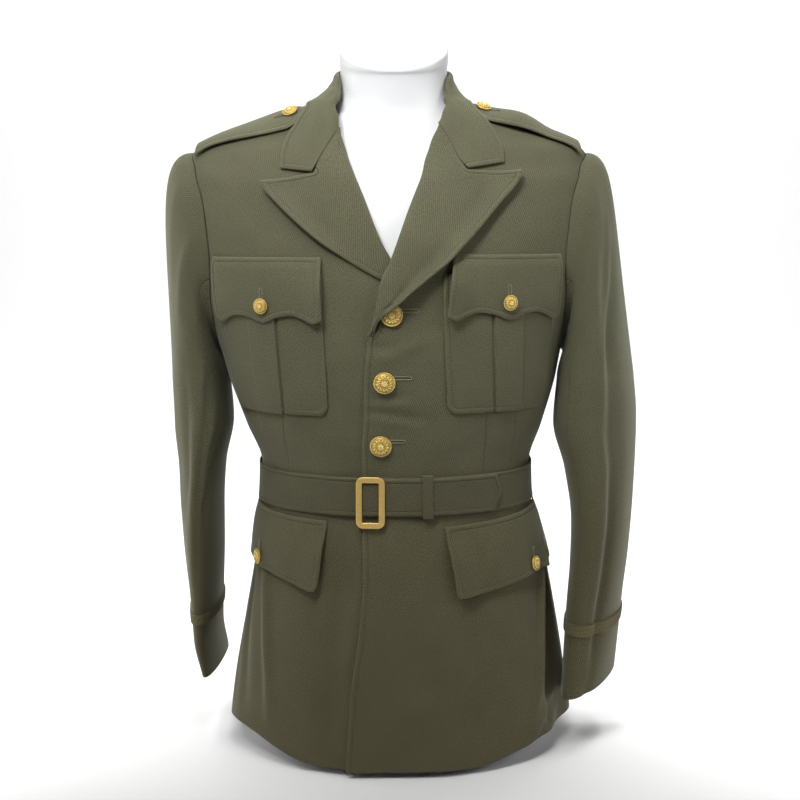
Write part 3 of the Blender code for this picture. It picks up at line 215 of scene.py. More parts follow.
# Lapel sections from the bottom up: the roll line, the middle and the outer edge, how far the
# roll stands out, and how far the edge is lifted by what lies under it. The last section's
# middle is the notch and its edge the peak.
LAPEL_COLUMNS = "roll_turn roll_z mid_turn mid_z edge_turn edge_z roll rise".split()
LEFT_LAPEL = (
    (-3.9, 0.4668, -3.3, 0.4700, -2.7, 0.4745, 0.0001, 0.0005),
    (-2.9, 0.4820, -1.8, 0.4845, -0.7, 0.4858, 0.0003, 0.0050),
    (-2.1, 0.4960, -0.2, 0.4970, 1.5, 0.4972, 0.0008, 0.0062),
    (-1.2, 0.5170, 1.8, 0.5120, 4.6, 0.5095, 0.0012, 0.0042),
    (0.3, 0.5380, 4.2, 0.5300, 8.5, 0.5225, 0.0014, 0.0036),
    (1.6, 0.5570, 7.0, 0.5460, 13.0, 0.5370, 0.0016, 0.0042),
    (3.9, 0.5900, 11.5, 0.5760, 20.0, 0.5655, 0.0018, 0.0012),
    (6.8, 0.6240, 16.0, 0.6040, 28.0, 0.5985, 0.0018, 0.0),
    (10.6, 0.6620, 18.3, 0.6280, 32.8, 0.6155, 0.0016, 0.0),
    (16.5, 0.6803, 18.9, 0.6318, 35.3, 0.6288, 0.0012, 0.0),
)
RIGHT_LAPEL = (
    (-2.0, 0.5280, -0.3, 0.5245, 1.0, 0.5216, 0.0001, 0.0),
    (-0.3, 0.5460, 4.0, 0.5420, 9.0, 0.5426, 0.0001, 0.0),
    (2.0, 0.5750, 8.0, 0.5660, 14.5, 0.5575, 0.0010, 0.0),
    (4.2, 0.6040, 12.0, 0.5920, 22.1, 0.5818, 0.0018, 0.0),
    (7.0, 0.6320, 15.0, 0.6130, 27.3, 0.5990, 0.0018, 0.0),
    (11.0, 0.6570, 16.4, 0.6245, 30.4, 0.6101, 0.0016, 0.0),
    (15.9, 0.6724, 16.8, 0.6283, 31.7, 0.6183, 0.0012, 0.0),
)
LIP_TURN = 0.9                      # how far the cloth turns back inside the roll

# Breast pockets, by girth from the middle of the front.
POCKETS = rows_of("side inner outer bottom_z pleat",
                  (1, 0.0560, 0.1860, 0.3850, 0.1255), (-1, 0.0665, 0.1940, 0.3825, 0.1335))
POCKET_TOP_Z = 0.528
POCKET_CORNER = 0.011
PLEAT_HALF = 0.0165
PLEAT_RISE = 0.0017
POCKET_OUT = 0.0025
# Breast flaps: the scalloped lower edge, as the height over its points at shares of its width.
BREAST_FLAPS = rows_of("side inner inner_top outer top_z point_z",
                       (1, 0.0580, 0.0660, 0.1900, 0.5470, 0.4810), (-1, 0.0655, 0.0665, 0.1925, 0.5440, 0.4778))
FLAP_EDGE_COLUMNS = "share height".split()
FLAP_EDGE = ((0.0, 0.0045), (0.035, 0.0012), (0.08, 0.0002), (0.15, 0.0040), (0.26, 0.0080), (0.38, 0.0055),
             (0.50, 0.0), (0.62, 0.0055), (0.74, 0.0080), (0.85, 0.0040), (0.92, 0.0002), (0.965, 0.0012),
             (1.0, 0.0045))
FLAP_OUT = (0.0024, 0.0062, 0.0068, 0.0064)     # from the top row to the lower edge
FLAP_ROWS = (0.0, 0.22, 0.62, 1.0)
# Hip flaps: the front edge's girth at the top and bottom, the back edge's, and the heights.
HIP_FLAPS = rows_of("side front_top front_low back_top back_low front_z back_z front_low_z back_low_z",
                    (1, 0.0500, 0.0575, 0.2260, 0.2300, 0.2640, 0.2740, 0.1870, 0.2040),
                    (-1, 0.0720, 0.0860, 0.2420, 0.2380, 0.2690, 0.2740, 0.1905, 0.2130))
HIP_OUT = (0.0022, 0.0036, 0.0052, 0.0058)
HIP_ROWS = (0.0, 0.3, 0.86, 1.0)
HIP_BUTTONS = ((1, 0.1610, 0.2125), (-1, 0.1690, 0.2190))      # side, girth, z

# Shoulder straps, by distance sideways from the middle and from front to back, at the armhole
# and at the tip, how far forward each bends between them, where it bows up most, and how far.
STRAPS = rows_of("side armhole_x tip_x armhole_y tip_y bend bow_share bow",
                 (1, 0.1960, 0.0800, -0.0090, -0.0325, 0.0040, 0.55, 0.0060),
                 (-1, -0.2105, -0.0965, -0.0090, -0.0380, 0.0060, 0.32, 0.0018))
STRAP_WIDTHS = (0.052, 0.040)
STRAP_BUTTON_INSET = 0.0128
STRAP_OUTS = (0.0050, 0.0044, 0.0038, 0.0038, 0.0038, 0.0036, 0.0026, 0.0024)   # row by row, to the tip

BELT_OUT = 0.0030                   # the belt's face over the cloth
KEEPER_WALL = 0.0010
KEEPER_ROOM = 0.0012                # the belt stands off more where its keeper passes behind it
BELT_END_TURNS = (-12.0, 44.0)
KEEPER_TURNS = (8.2, 12.0)
BUCKLE = {"turn": -7.3, "z": 0.2920, "width": 0.0316, "height": 0.0562, "bar": 0.0062,
          "thick": 0.0024, "corner": 0.0075}
BUCKLE_SHARES = (0.95, 0.965)       # the finer frame's width and height, as shares of these

# Buttons: radius and domed height of each size, and the turn and height of each coat button.
COAT_BUTTON = (0.01125, 0.0056)
POCKET_BUTTON = (0.0080, 0.0044)
COAT_BUTTONS = ((0.6, 0.4868), (-1.3, 0.4186), (-3.3, 0.3520))

# The dress form: level sections as for the body, then the neck's tilted sections.
FORM = (
    (0.0000, 0.0000, 0.000, 0.1500, -0.100, 0.100, 2.20),
    (0.0100, 0.0010, 0.003, 0.1620, -0.115, 0.120, 2.20),
    (0.0600, 0.0030, 0.008, 0.1680, -0.125, 0.132, 2.20),
    (0.1300, 0.0040, 0.006, 0.1620, -0.123, 0.128, 2.20),
    (0.2000, 0.0030, 0.003, 0.1530, -0.118, 0.120, 2.25),
    (0.2500, 0.0010, 0.001, 0.1430, -0.112, 0.109, 2.30),
    (0.3000, 0.0005, 0.000, 0.1360, -0.109, 0.097, 2.30),
    (0.3600, -0.0010, 0.000, 0.1500, -0.114, 0.100, 2.30),
    (0.4100, -0.0030, 0.000, 0.1650, -0.121, 0.108, 2.30),
    (0.4400, -0.0045, 0.000, 0.1720, -0.124, 0.112, 2.30),
    (0.5000, -0.0070, 0.000, 0.1820, -0.124, 0.114, 2.30),
    (0.5400, -0.0075, 0.000, 0.1880, -0.119, 0.113, 2.30),
    (0.5800, -0.0078, 0.000, 0.1940, -0.109, 0.107, 2.30),
    (0.6150, -0.0080, 0.000, 0.1950, -0.094, 0.096, 2.25),
    (0.6350, -0.0080, 0.000, 0.1860, -0.083, 0.087, 2.20),
    (0.6520, -0.0075, 0.000, 0.1600, -0.073, 0.079, 2.10),
    (0.6680, -0.0065, 0.001, 0.1250, -0.063, 0.070, 2.05),
    (0.6850, -0.0045, 0.001, 0.0900, -0.055, 0.062, 2.00),
    (0.7000, -0.0025, 0.001, 0.0680, -0.051, 0.057, 2.00),
    (0.7150, -0.0012, 0.002, 0.0592, -0.0508, 0.0555, 2.00),
    (0.7300, -0.0012, 0.002, 0.0577, -0.0510, 0.0556, 2.00),
)
# The neck over its last level section: height of the middle, half width, half depth, slope.
NECK_COLUMNS = "z half depth slope".split()
NECK_TOP = ((0.7430, 0.0578, 0.0535, 0.20), (0.7560, 0.0590, 0.0545, 0.40), (0.7650, 0.0590, 0.0548, 0.53),
            (0.7672, 0.0575, 0.0533, 0.53))


# ---------------------------------------------------------------- creases
# A crease is a path over the cloth, how wide it is on either side, and how far it stands out.
# On the body a path's points are (turn, z), and on a sleeve (degrees round it, z).
BODY_CREASES = (
    # below the second button, and between it and the third
    (((-5.0, 0.4010), (-1.0, 0.4020), (4.0, 0.4050)), 0.0040, 0.0050, -0.0015),
    (((-6.0, 0.3940), (-1.0, 0.3945), (3.5, 0.3960)), 0.0035, 0.0035, 0.0014),
    (((-6.0, 0.3880), (-2.0, 0.3870), (2.0, 0.3810), (9.0, 0.3800)), 0.0045, 0.0040, -0.0021),
    (((-5.0, 0.3790), (0.0, 0.3770), (5.0, 0.3730)), 0.0050, 0.0050, 0.0014),
    (((-1.0, 0.4420), (4.0, 0.4540), (8.0, 0.4620)), 0.0060, 0.0080, 0.0018),
    (((-4.5, 0.4560), (0.0, 0.4530)), 0.0050, 0.0060, -0.0018),
    # the skirt's sides: the edge of the deep fold, its hollow, and what runs down from it
    (((72.0, 0.222), (67.5, 0.195), (61.0, 0.148), (53.5, 0.091), (46.0, 0.045)), 0.0110, 0.0040, 0.0072),
    (((81.0, 0.212), (77.0, 0.182), (70.0, 0.137), (62.5, 0.080), (57.0, 0.045)), 0.0120, 0.0060, -0.0105),
    (((78.0, 0.085), (66.0, 0.065), (52.0, 0.045), (42.0, 0.018)), 0.0060, 0.0080, 0.0034),
    (((70.0, 0.045), (56.0, 0.025), (48.0, 0.005)), 0.0060, 0.0060, 0.0014),
    (((-62.0, 0.215), (-59.0, 0.199), (-53.5, 0.153), (-48.5, 0.095), (-46.0, 0.050)), 0.0085, 0.0060, 0.0050),
    (((-78.0, 0.200), (-72.0, 0.150), (-64.0, 0.090), (-60.0, 0.040)), 0.0120, 0.0090, -0.0036),
    (((-86.0, 0.120), (-76.0, 0.070), (-68.0, 0.020)), 0.0090, 0.0090, 0.0018),
    (((-18.0, 0.245), (-19.5, 0.150), (-20.5, 0.060), (-21.0, 0.010)), 0.0110, 0.0160, -0.0042),
    # behind: pulls above and below the belt
    (((128.0, 0.345), (142.0, 0.352), (160.0, 0.346)), 0.0050, 0.0080, 0.0028),
    (((-160.0, 0.350), (-146.0, 0.357), (-130.0, 0.350)), 0.0050, 0.0080, 0.0028),
    (((118.0, 0.372), (134.0, 0.380), (150.0, 0.374)), 0.0060, 0.0080, -0.0026),
    (((-148.0, 0.376), (-132.0, 0.384), (-118.0, 0.374)), 0.0060, 0.0080, -0.0026),
    (((104.0, 0.500), (112.0, 0.470), (126.0, 0.440)), 0.0090, 0.0090, 0.0030),
    (((-104.0, 0.505), (-112.0, 0.475), (-126.0, 0.445)), 0.0090, 0.0090, 0.0030),
    (((136.0, 0.250), (138.0, 0.200), (140.0, 0.120)), 0.0100, 0.0090, 0.0034),
    (((-136.0, 0.250), (-139.0, 0.200), (-143.0, 0.110)), 0.0100, 0.0090, 0.0034),
)
SLEEVE_FOLDS = {
    1: (
        # down the front of the top sleeve: a ridge, and the hollow outside it
        (((56, 0.590), (60, 0.555), (64, 0.512), (65, 0.470), (64, 0.430), (64, 0.385), (67, 0.340), (71, 0.294),
          (74, 0.250), (76, 0.202), (75, 0.159), (72, 0.115), (69, 0.085)), 0.022, 0.0130, 0.0062),
        (((38, 0.540), (41, 0.480), (42, 0.430), (43, 0.380), (47, 0.320), (52, 0.240), (53, 0.160), (52, 0.110)),
         0.012, 0.014, -0.0046),
        (((28, 0.580), (35, 0.516), (44, 0.486), (51, 0.455), (56, 0.425)), 0.007, 0.005, 0.0027),
        (((20, 0.540), (26, 0.500), (36, 0.465), (42, 0.430)), 0.006, 0.009, -0.0022),
        # behind, round the elbow
        (((318, 0.520), (306, 0.450), (292, 0.380), (288, 0.320)), 0.010, 0.008, 0.0030),
        (((330, 0.430), (316, 0.380), (300, 0.330), (284, 0.300)), 0.009, 0.007, -0.0027),
        (((340, 0.340), (318, 0.310), (296, 0.270), (280, 0.200)), 0.009, 0.008, 0.0024),
    ),
    -1: (
        (((88, 0.590), (80, 0.563), (70, 0.526), (62, 0.480)), 0.009, 0.008, 0.0022),
        (((72, 0.430), (70, 0.388), (66, 0.347), (66, 0.312), (60, 0.260)), 0.010, 0.012, -0.0030),
        (((108, 0.430), (99, 0.400), (88, 0.351), (88, 0.314), (84, 0.260), (78, 0.190)), 0.006, 0.010, 0.0027),
        (((126, 0.400), (117, 0.370), (107, 0.331), (104, 0.280)), 0.005, 0.007, 0.0022),
        (((130, 0.350), (118, 0.310), (112, 0.260)), 0.008, 0.005, -0.0022),
        (((36, 0.420), (30, 0.360), (34, 0.290), (40, 0.220)), 0.010, 0.012, 0.0016),
        (((320, 0.500), (304, 0.430), (290, 0.370), (286, 0.300)), 0.010, 0.008, 0.0027),
        (((334, 0.420), (314, 0.370), (298, 0.320), (280, 0.290)), 0.009, 0.007, -0.0024),
        (((342, 0.320), (320, 0.290), (298, 0.250), (282, 0.190)), 0.009, 0.008, 0.0022),
    ),
}
SKIRT_EDGE_LIFT = 0.0055            # how far the left front's edge stands off more at the hem
ARMHOLE_GAP = 1.2                   # how many seams the sleeve head stands off the armhole
BODY_SPREAD = 0.165                 # how many metres of cloth one radian of turn is, for creases
# The darts that shape the waist, from just under each breast pocket.
DARTS = (((-38.6, 0.388), (-45.5, 0.323)), ((31.0, 0.388), (35.0, 0.322)), ((45.6, 0.386), (52.0, 0.326)),
         ((-56.0, 0.380), (-60.0, 0.330)), ((150.0, 0.440), (148.0, 0.320)), ((-150.0, 0.440), (-148.0, 0.320)))


def along_path(across, up, path):
    """Signed distance from a path and the share of it passed, for each point."""
    best = np.full(across.shape, 9.0)
    side, passed = np.zeros(across.shape), np.zeros(across.shape)
    for i, (start, end) in enumerate(zip(path, path[1:])):
        run = np.array(end) - np.array(start)
        size = max(float(run @ run), 1e-12)
        t = np.clip(((across - start[0]) * run[0] + (up - start[1]) * run[1]) / size, 0.0, 1.0)
        off_x, off_y = across - start[0] - run[0] * t, up - start[1] - run[1] * t
        away = np.hypot(off_x, off_y)
        nearer = away < best
        best = np.where(nearer, away, best)
        side = np.where(nearer, np.sign(run[0] * off_y - run[1] * off_x), side)
        passed = np.where(nearer, (i + t) / (len(path) - 1), passed)
    return best * side, passed


def crease_depth(creases, across, up, scale):
    """How far the creases push the cloth out here. The second coordinate is a height."""
    depth = np.zeros(np.broadcast(across, up).shape)
    across, up = np.broadcast_arrays(np.asarray(across, float), np.asarray(up, float))
    for path, left, right, out in creases:
        points = [(math.radians(turn) * scale, z) for turn, z in path]
        away, passed = along_path(np.radians(across) * scale, up, points)
        wide = np.where(away > 0, left, right)
        depth = depth + out * np.exp(-(away / wide) ** 2) * np.sin(np.pi * (0.08 + 0.84 * passed)) ** 0.7
    return depth


def dart_distance(turn, z):
    """Each point's signed distance from the nearest dart."""
    best = np.full(turn.shape, 0.5)
    for path in DARTS:
        points = [(math.radians(at) * BODY_SPREAD, height) for at, height in path]
        away, _ = along_path(np.radians(turn) * BODY_SPREAD, z, points)
        best = np.where(np.abs(away) < np.abs(best), away, best)
    return best


# ---------------------------------------------------------------- surfaces
def smooth_table(rows, columns):
    """A function of the first column that gives the others by name, smoothly and without overshoot."""
    data = np.array(rows, float)
    at, values = data[:, 0], data[:, 1:]
    steps = np.diff(values, axis=0) / np.diff(at)[:, None]
    before, after = steps[:-1], steps[1:]
    same = before * after > 0
    middle = np.where(same, 2 * before * after / np.where(same, before + after, 1.0), 0.0)
    slopes = np.vstack([steps[:1], middle, steps[-1:]])

    def look_up(value):
        value = np.asarray(value, float)
        i = np.clip(np.searchsorted(at, value) - 1, 0, len(at) - 2)
        span = (at[i + 1] - at[i])[..., None]
        t = np.clip((value[..., None] - at[i][..., None]) / span, 0.0, 1.0)
        a = values[i] * (1 + 2 * t) * (1 - t) ** 2 + slopes[i] * span * t * (1 - t) ** 2
        b = values[i + 1] * t * t * (3 - 2 * t) - slopes[i + 1] * span * t * t * (1 - t)
        return {name: (a + b)[..., k] for k, name in enumerate(columns[1:])}

    return look_up


body_section = smooth_table(BODY, BODY_COLUMNS)
front_edge = smooth_table(FRONT_EDGE, FRONT_EDGE_COLUMNS)
overlap_lift = smooth_table(OVERLAP, OVERLAP_COLUMNS)
left_sleeve = smooth_table(LEFT_SLEEVE, SLEEVE_COLUMNS)
right_sleeve = smooth_table(RIGHT_SLEEVE, SLEEVE_COLUMNS)
flap_edge = smooth_table(FLAP_EDGE, FLAP_EDGE_COLUMNS)


def signed_power(value, power):
    return np.sign(value) * np.abs(value) ** power


def between(low, high, share):
    return low + (high - low) * share


def unit(vectors):
    return vectors / np.maximum(np.linalg.norm(vectors, axis=-1, keepdims=True), 1e-12)


def ease(value, low, high):
    """0 below low, 1 above high, smooth between them."""
    t = np.clip((value - low) / (high - low), 0.0, 1.0)
    return t * t * (3 - 2 * t)


def section_depth(section, front):
    """From a section's middle to its front or its back."""
    return np.where(front, section["mid_y"] - section["front"], section["back"] - section["mid_y"])


def section_point(section, turn, z):
    """The point of a section at this turn."""
    angle = np.radians(turn)
    across, along = np.sin(angle), np.cos(angle)
    depth = section_depth(section, along > 0)
    power = 2 / section["power"]
    x = section["mid_x"] + section["half"] * signed_power(across, power)
    y = section["mid_y"] - depth * signed_power(along, power)
    return np.stack(np.broadcast_arrays(x, y, z), axis=-1)


def fold_depth(turn, z):
    """How far the large folds push the cloth out here."""
    depth = np.zeros(np.broadcast(turn, z).shape)
    for fold in FOLDS:
        t = np.clip((z - fold["low_z"]) / (fold["high_z"] - fold["low_z"]), 0.0, 1.0)
        centre = between(fold["low_turn"], fold["high_turn"], t)
        away = np.clip(np.abs(turn - centre) / fold["spread"], 0.0, 1.0)
        depth = depth + fold["out"] * np.cos(away * np.pi / 2) ** 2 * (1 - t) ** 0.7
    return depth


def body_normal(turn, z):
    """The outward direction of the tunic's outer face."""
    around, up = 1.0, 0.002
    along = section_point(body_section(z), turn + around, z) - section_point(body_section(z), turn - around, z)
    rise = section_point(body_section(z + up), turn, z + up) - section_point(body_section(z - up), turn, z - up)
    return unit(np.cross(along, rise))


def on_body(turn, z, out=0.0):
    """The point of the tunic's outer face at this turn and height, moved out."""
    turn, z = np.broadcast_arrays(np.asarray(turn, float), np.asarray(z, float))
    lift = out + fold_depth(turn, z) + crease_depth(BODY_CREASES, turn, z, BODY_SPREAD)
    return section_point(body_section(z), turn, z) + body_normal(turn, z) * np.asarray(lift)[..., None]


def turn_at(girth, z):
    """The turn that lies this far round the section from its front, measured along the cloth."""
    girth, z = np.broadcast_arrays(np.asarray(girth, float), np.asarray(z, float))
    turns = np.linspace(0.0, 150.0, 76)
    points = section_point(body_section(z[..., None]), turns, z[..., None])
    steps = np.linalg.norm(np.diff(points, axis=-2), axis=-1)
    reached = np.concatenate([np.zeros((*z.shape, 1)), np.cumsum(steps, axis=-1)], axis=-1)
    i = np.clip((reached < np.abs(girth)[..., None]).sum(-1) - 1, 0, 74)
    low = np.take_along_axis(reached, i[..., None], -1)[..., 0]
    high = np.take_along_axis(reached, i[..., None] + 1, -1)[..., 0]
    return np.sign(girth) * (turns[i] + (turns[i + 1] - turns[i]) * (np.abs(girth) - low) / (high - low))


def shoulder_height(x, y):
    """The height of the shoulder's slope over this place."""
    low, high = np.full(np.broadcast(x, y).shape, 0.56), np.full(np.broadcast(x, y).shape, 0.745)
    for _ in range(30):
        z = (low + high) / 2
        section = body_section(z)
        across = np.abs(x - section["mid_x"]) / section["half"]
        along = np.abs(y - section["mid_y"]) / section_depth(section, y < section["mid_y"])
        inside = across ** section["power"] + along ** section["power"] < 1
        low, high = np.where(inside, z, low), np.where(inside, high, z)
    return np.stack(np.broadcast_arrays(x, y, z), axis=-1)


def on_shoulder(x, y, out=0.0):
    """The point of the shoulder's slope over this place, moved out."""
    step = 0.002
    along = shoulder_height(x + step, y) - shoulder_height(x - step, y)
    across = shoulder_height(x, y + step) - shoulder_height(x, y - step)
    return shoulder_height(x, y) + unit(np.cross(along, across)) * np.asarray(out)[..., None]


def overlap_out(turn, z):
    """How far the left front stands out where it lies on the right front and its lapel."""
    skirt = SKIRT_EDGE_LIFT * (1 - ease(z, 0.04, 0.24)) * (1 - ease(turn, -14.0, -3.0))
    return overlap_lift(z)["lift"] * (1 - ease(turn, *OVERLAP_TURNS)) + skirt


def on_front(side, girth, z, out):
    """A point on a front panel's face, by girth, moved out."""
    turn = side * turn_at(girth, z)
    return on_body(turn, z, out + (overlap_out(turn, z) if side > 0 else 0.0))


def hem_height(turn, z):
    """The hem rides up at the sides. The rise dies out at the belt."""
    across = np.sin(np.radians(turn))
    rise, first, last = [np.where(across > 0, *pair) for pair in zip(HEM_RISES[1], HEM_RISES[-1])]
    return z + rise * ease(np.abs(across), first, last) * np.clip(1 - z / BELT_LOW_Z, 0.0, 1.0)


def armhole_y(z):
    """Half the armhole's depth, front to back, at this height."""
    return ARMHOLE_HALF_DEPTH * np.sqrt(np.clip(1 - ((z - ARMHOLE_MIDDLE) / ARMHOLE_HALF) ** 2, 0.0, 1.0))


def armhole_turn(z, back):
    """The turn at which the front or back panel meets the armhole, or the side or shoulder seam."""
    z, not_back = np.asarray(z, float), np.logical_not(back)
    section = body_section(z)
    share = np.minimum(1.0, armhole_y(z) / section_depth(section, not_back)) ** (section["power"] / 2)
    away = np.where((UNDERARM_Z < z) & (z < SHOULDER_Z), np.degrees(np.arccos(share)), 90.0)
    return np.where(back, 180 - away, away)


def sleeve_point(side, around, z):
    """A point of a sleeve: around is 0 outside, 90 in front, 180 against the body, 270 behind."""
    around, z = np.broadcast_arrays(np.asarray(around, float), np.asarray(z, float))
    row = (left_sleeve if side > 0 else right_sleeve)(z)
    angle = np.radians(around)
    crease = np.zeros(around.shape)
    for fold in SLEEVE_CREASES:
        if fold["side"] != side:
            continue
        away = np.clip(np.abs((around - fold["around"] + 180) % 360 - 180) / fold["spread"], 0.0, 1.0)
        crease = crease + fold["out"] * np.cos(away * np.pi / 2) ** 2 * ease(-z, -0.42, -0.30)
    thick = row["half_x"] * signed_power(np.cos(angle), SLEEVE_POWER)
    deep = -row["half_y"] * signed_power(np.sin(angle), SLEEVE_POWER)
    scale = 1 + crease / np.hypot(thick, deep)
    thick, deep = thick * scale, deep * scale
    lean = np.radians(row["lean"])
    x = thick * np.cos(lean) + deep * np.sin(lean)
    y = -thick * np.sin(lean) + deep * np.cos(lean)
    return np.stack(np.broadcast_arrays(row["mid_x"] + side * x, row["mid_y"] + y, z), axis=-1)


def sleeve_normal(side, around, z):
    """The sleeve's level outward direction."""
    along = sleeve_point(side, around + 2.0, z) - sleeve_point(side, around - 2.0, z)
    return unit(np.stack([along[..., 1], -along[..., 0], np.zeros(along.shape[:-1])], axis=-1)) * -side


def sleeve_folds(side, around, z):
    """How far a sleeve's creases push its cloth out here."""
    around = (np.asarray(around, float) + 90) % 360 - 90
    return crease_depth(SLEEVE_FOLDS[side], around, z, 0.055)


def on_sleeve(side, around, z, out=0.0):
    """A point of a sleeve with its folds, moved out."""
    lift = out + sleeve_folds(side, around, z)
    return sleeve_point(side, around, z) + sleeve_normal(side, around, z) * np.asarray(lift)[..., None]


def armhole_point(side, around):
    """The armhole's edge, set off by a seam towards the sleeve."""
    z = ARMHOLE_MIDDLE + ARMHOLE_HALF * np.cos(np.radians(around))
    turn = armhole_turn(z, np.asarray(around) % 360 > 180)
    return on_body(side * turn, z) + np.array((side * SEAM * ARMHOLE_GAP, 0.0, 0.0))


def sleeve_head(side, around, t):
    """A point between the armhole, t = 0, and the first level section of the sleeve, t = 1."""
    around, t = np.broadcast_arrays(np.asarray(around, float), np.asarray(t, float))
    start, end = armhole_point(side, around), sleeve_point(side, around, SLEEVE_TOP_Z)
    outer = (1 + np.cos(np.radians(around))) / 2
    reach, climb = between(*HEAD_REACHES[side], outer), between(*HEAD_CLIMB, outer)
    nothing = np.zeros(outer.shape)
    first = start + np.stack([side * reach, nothing, 0.002 * outer], axis=-1)
    second = end + np.stack([-side * HEAD_SLANTS[side] * climb * outer, nothing, climb], axis=-1)
    t = t[..., None]
    return start * (1 - t) ** 3 + first * 3 * t * (1 - t) ** 2 + second * 3 * t * t * (1 - t) + end * t ** 3


def cuff_height(side, around, z, cuff_z):
    """The cuff's slant, which dies out at the braid."""
    rise = CUFF_RISE * (1 + np.cos(np.radians(around + 30))) / 2 if side > 0 else 0.0
    return z + rise * np.clip(1 - (z - cuff_z) / (BRAID_LEVELS[1] - cuff_z), 0.0, 1.0)


def belt_out(turn):
    """The belt's lift over both fronts: it eases down from the left front's edge to the right front."""
    over = overlap_lift(BELT_LOW_Z)["lift"] * ease(turn, -34.0, -14.0) * (1 - ease(turn, 8.0, 26.0))
    return BELT_OUT + over + KEEPER_ROOM * ease(turn, 0.0, 8.0) * (1 - ease(turn, 12.0, 22.0))


def side_name(side):
    return "left" if side > 0 else "right"


# ---------------------------------------------------------------- cloth as a thin shell
def places(count, length, first=True, last=True):
    """Shares from 0 to 1 along a length, close together at an end where the cloth's edge is rounded."""
    near = np.array([0.0, 0.00012, 0.0003, 0.0006, 0.0010, 0.0018]) / length
    low, high = (near[-1] if first else 0.0), (near[-1] if last else 0.0)
    parts = [near[:-1]] if first else []
    parts.append(np.linspace(low, 1 - high, count))
    if last:
        parts.append(1 - near[-2::-1])
    return np.concatenate(parts)


def grid_normals(grid, ring=False):
    """Each point's direction out of the sheet, from its neighbours."""
    if ring:
        wide = np.concatenate([grid[:, -1:], grid, grid[:, :1]], axis=1)
        along = wide[:, 2:] - wide[:, :-2]
    else:
        along = np.gradient(grid, axis=1)
    return unit(np.cross(along, np.gradient(grid, axis=0)))


def lengths_along(grid, axis):
    """How far each point is along its row or column, in metres."""
    steps = np.linalg.norm(np.diff(grid, axis=axis), axis=-1)
    start = np.zeros_like(np.take(steps, [0], axis))
    return np.concatenate([start, np.cumsum(steps, axis=axis)], axis=axis)


def rounded(distance, wall, soft):
    """How far a face is drawn in near the cloth's rounded edge."""
    t = np.clip(1 - distance / (wall * 1.2 * soft), 0.0, 1.0)
    return wall * soft * (1 - np.sqrt(1 - t * t))


def edge_reading(points, border):
    """Each point's distance from a stitched edge, and how far along the edge it is."""
    gaps, runs = np.full(len(points), 1.0), np.zeros(len(points))
    if border is None:
        return gaps, runs
    run = np.concatenate([[0.0], np.cumsum(np.linalg.norm(np.diff(border, axis=0), axis=1))])
    at = np.arange(0.0, run[-1], 0.0005)
    dense = np.stack([np.interp(at, run, border[:, k]) for k in range(3)], axis=-1)
    tree = KDTree(len(dense))
    for i, point in enumerate(dense):
        tree.insert(point, i)
    tree.balance()
    for i, point in enumerate(points):
        _, nearest, gap = tree.find(point)
        gaps[i], runs[i] = gap, at[nearest]
    return gaps, runs


def quads(high, wide, ring):
    """The four corners of each face of a grid, as row and column."""
    rows = np.arange(high - 1)[:, None]
    columns = np.arange(wide if ring else wide - 1)[None, :]
    low = np.broadcast_to(rows, (high - 1, columns.size)).ravel()
    at = np.broadcast_to(columns, (high - 1, columns.size)).ravel()
    return np.stack([low, at, low, at + 1, low + 1, at + 1, low + 1, at], axis=-1).reshape(-1, 4, 2)


def smooth_piece(name, points, faces, material):
    """A new smooth mesh object in the scene."""
    mesh = bpy.data.meshes.new(name)
    mesh.from_pydata(points.tolist(), [], faces)
    mesh.materials.append(material)
    mesh.shade_smooth()
    made = bpy.data.objects.new(name, mesh)
    bpy.context.scene.collection.objects.link(made)
    return made


def edge_gap(outer, ring):
    """How far each point is from the sheet's nearest edge, along the cloth."""
    down = lengths_along(outer, 0)
    gap = np.minimum(down, down[-1:] - down)
    if ring:
        return gap
    across = lengths_along(outer, 1)
    return np.minimum(gap, np.minimum(across, across[:, -1:] - across))


def rim_of(high, wide, ring):
    """The sheet's border as pairs of neighbouring points, all one way round."""
    last_row, steps = (high - 1) * wide, range(wide if ring else wide - 1)
    rim = [(i, (i + 1) % wide) for i in steps] + [(last_row + (i + 1) % wide, last_row + i) for i in steps]
    if not ring:
        starts = range(0, last_row, wide)
        rim += [(i + wide, i) for i in starts] + [(i + wide - 1, i + 2 * wide - 1) for i in starts]
    return np.array(rim)


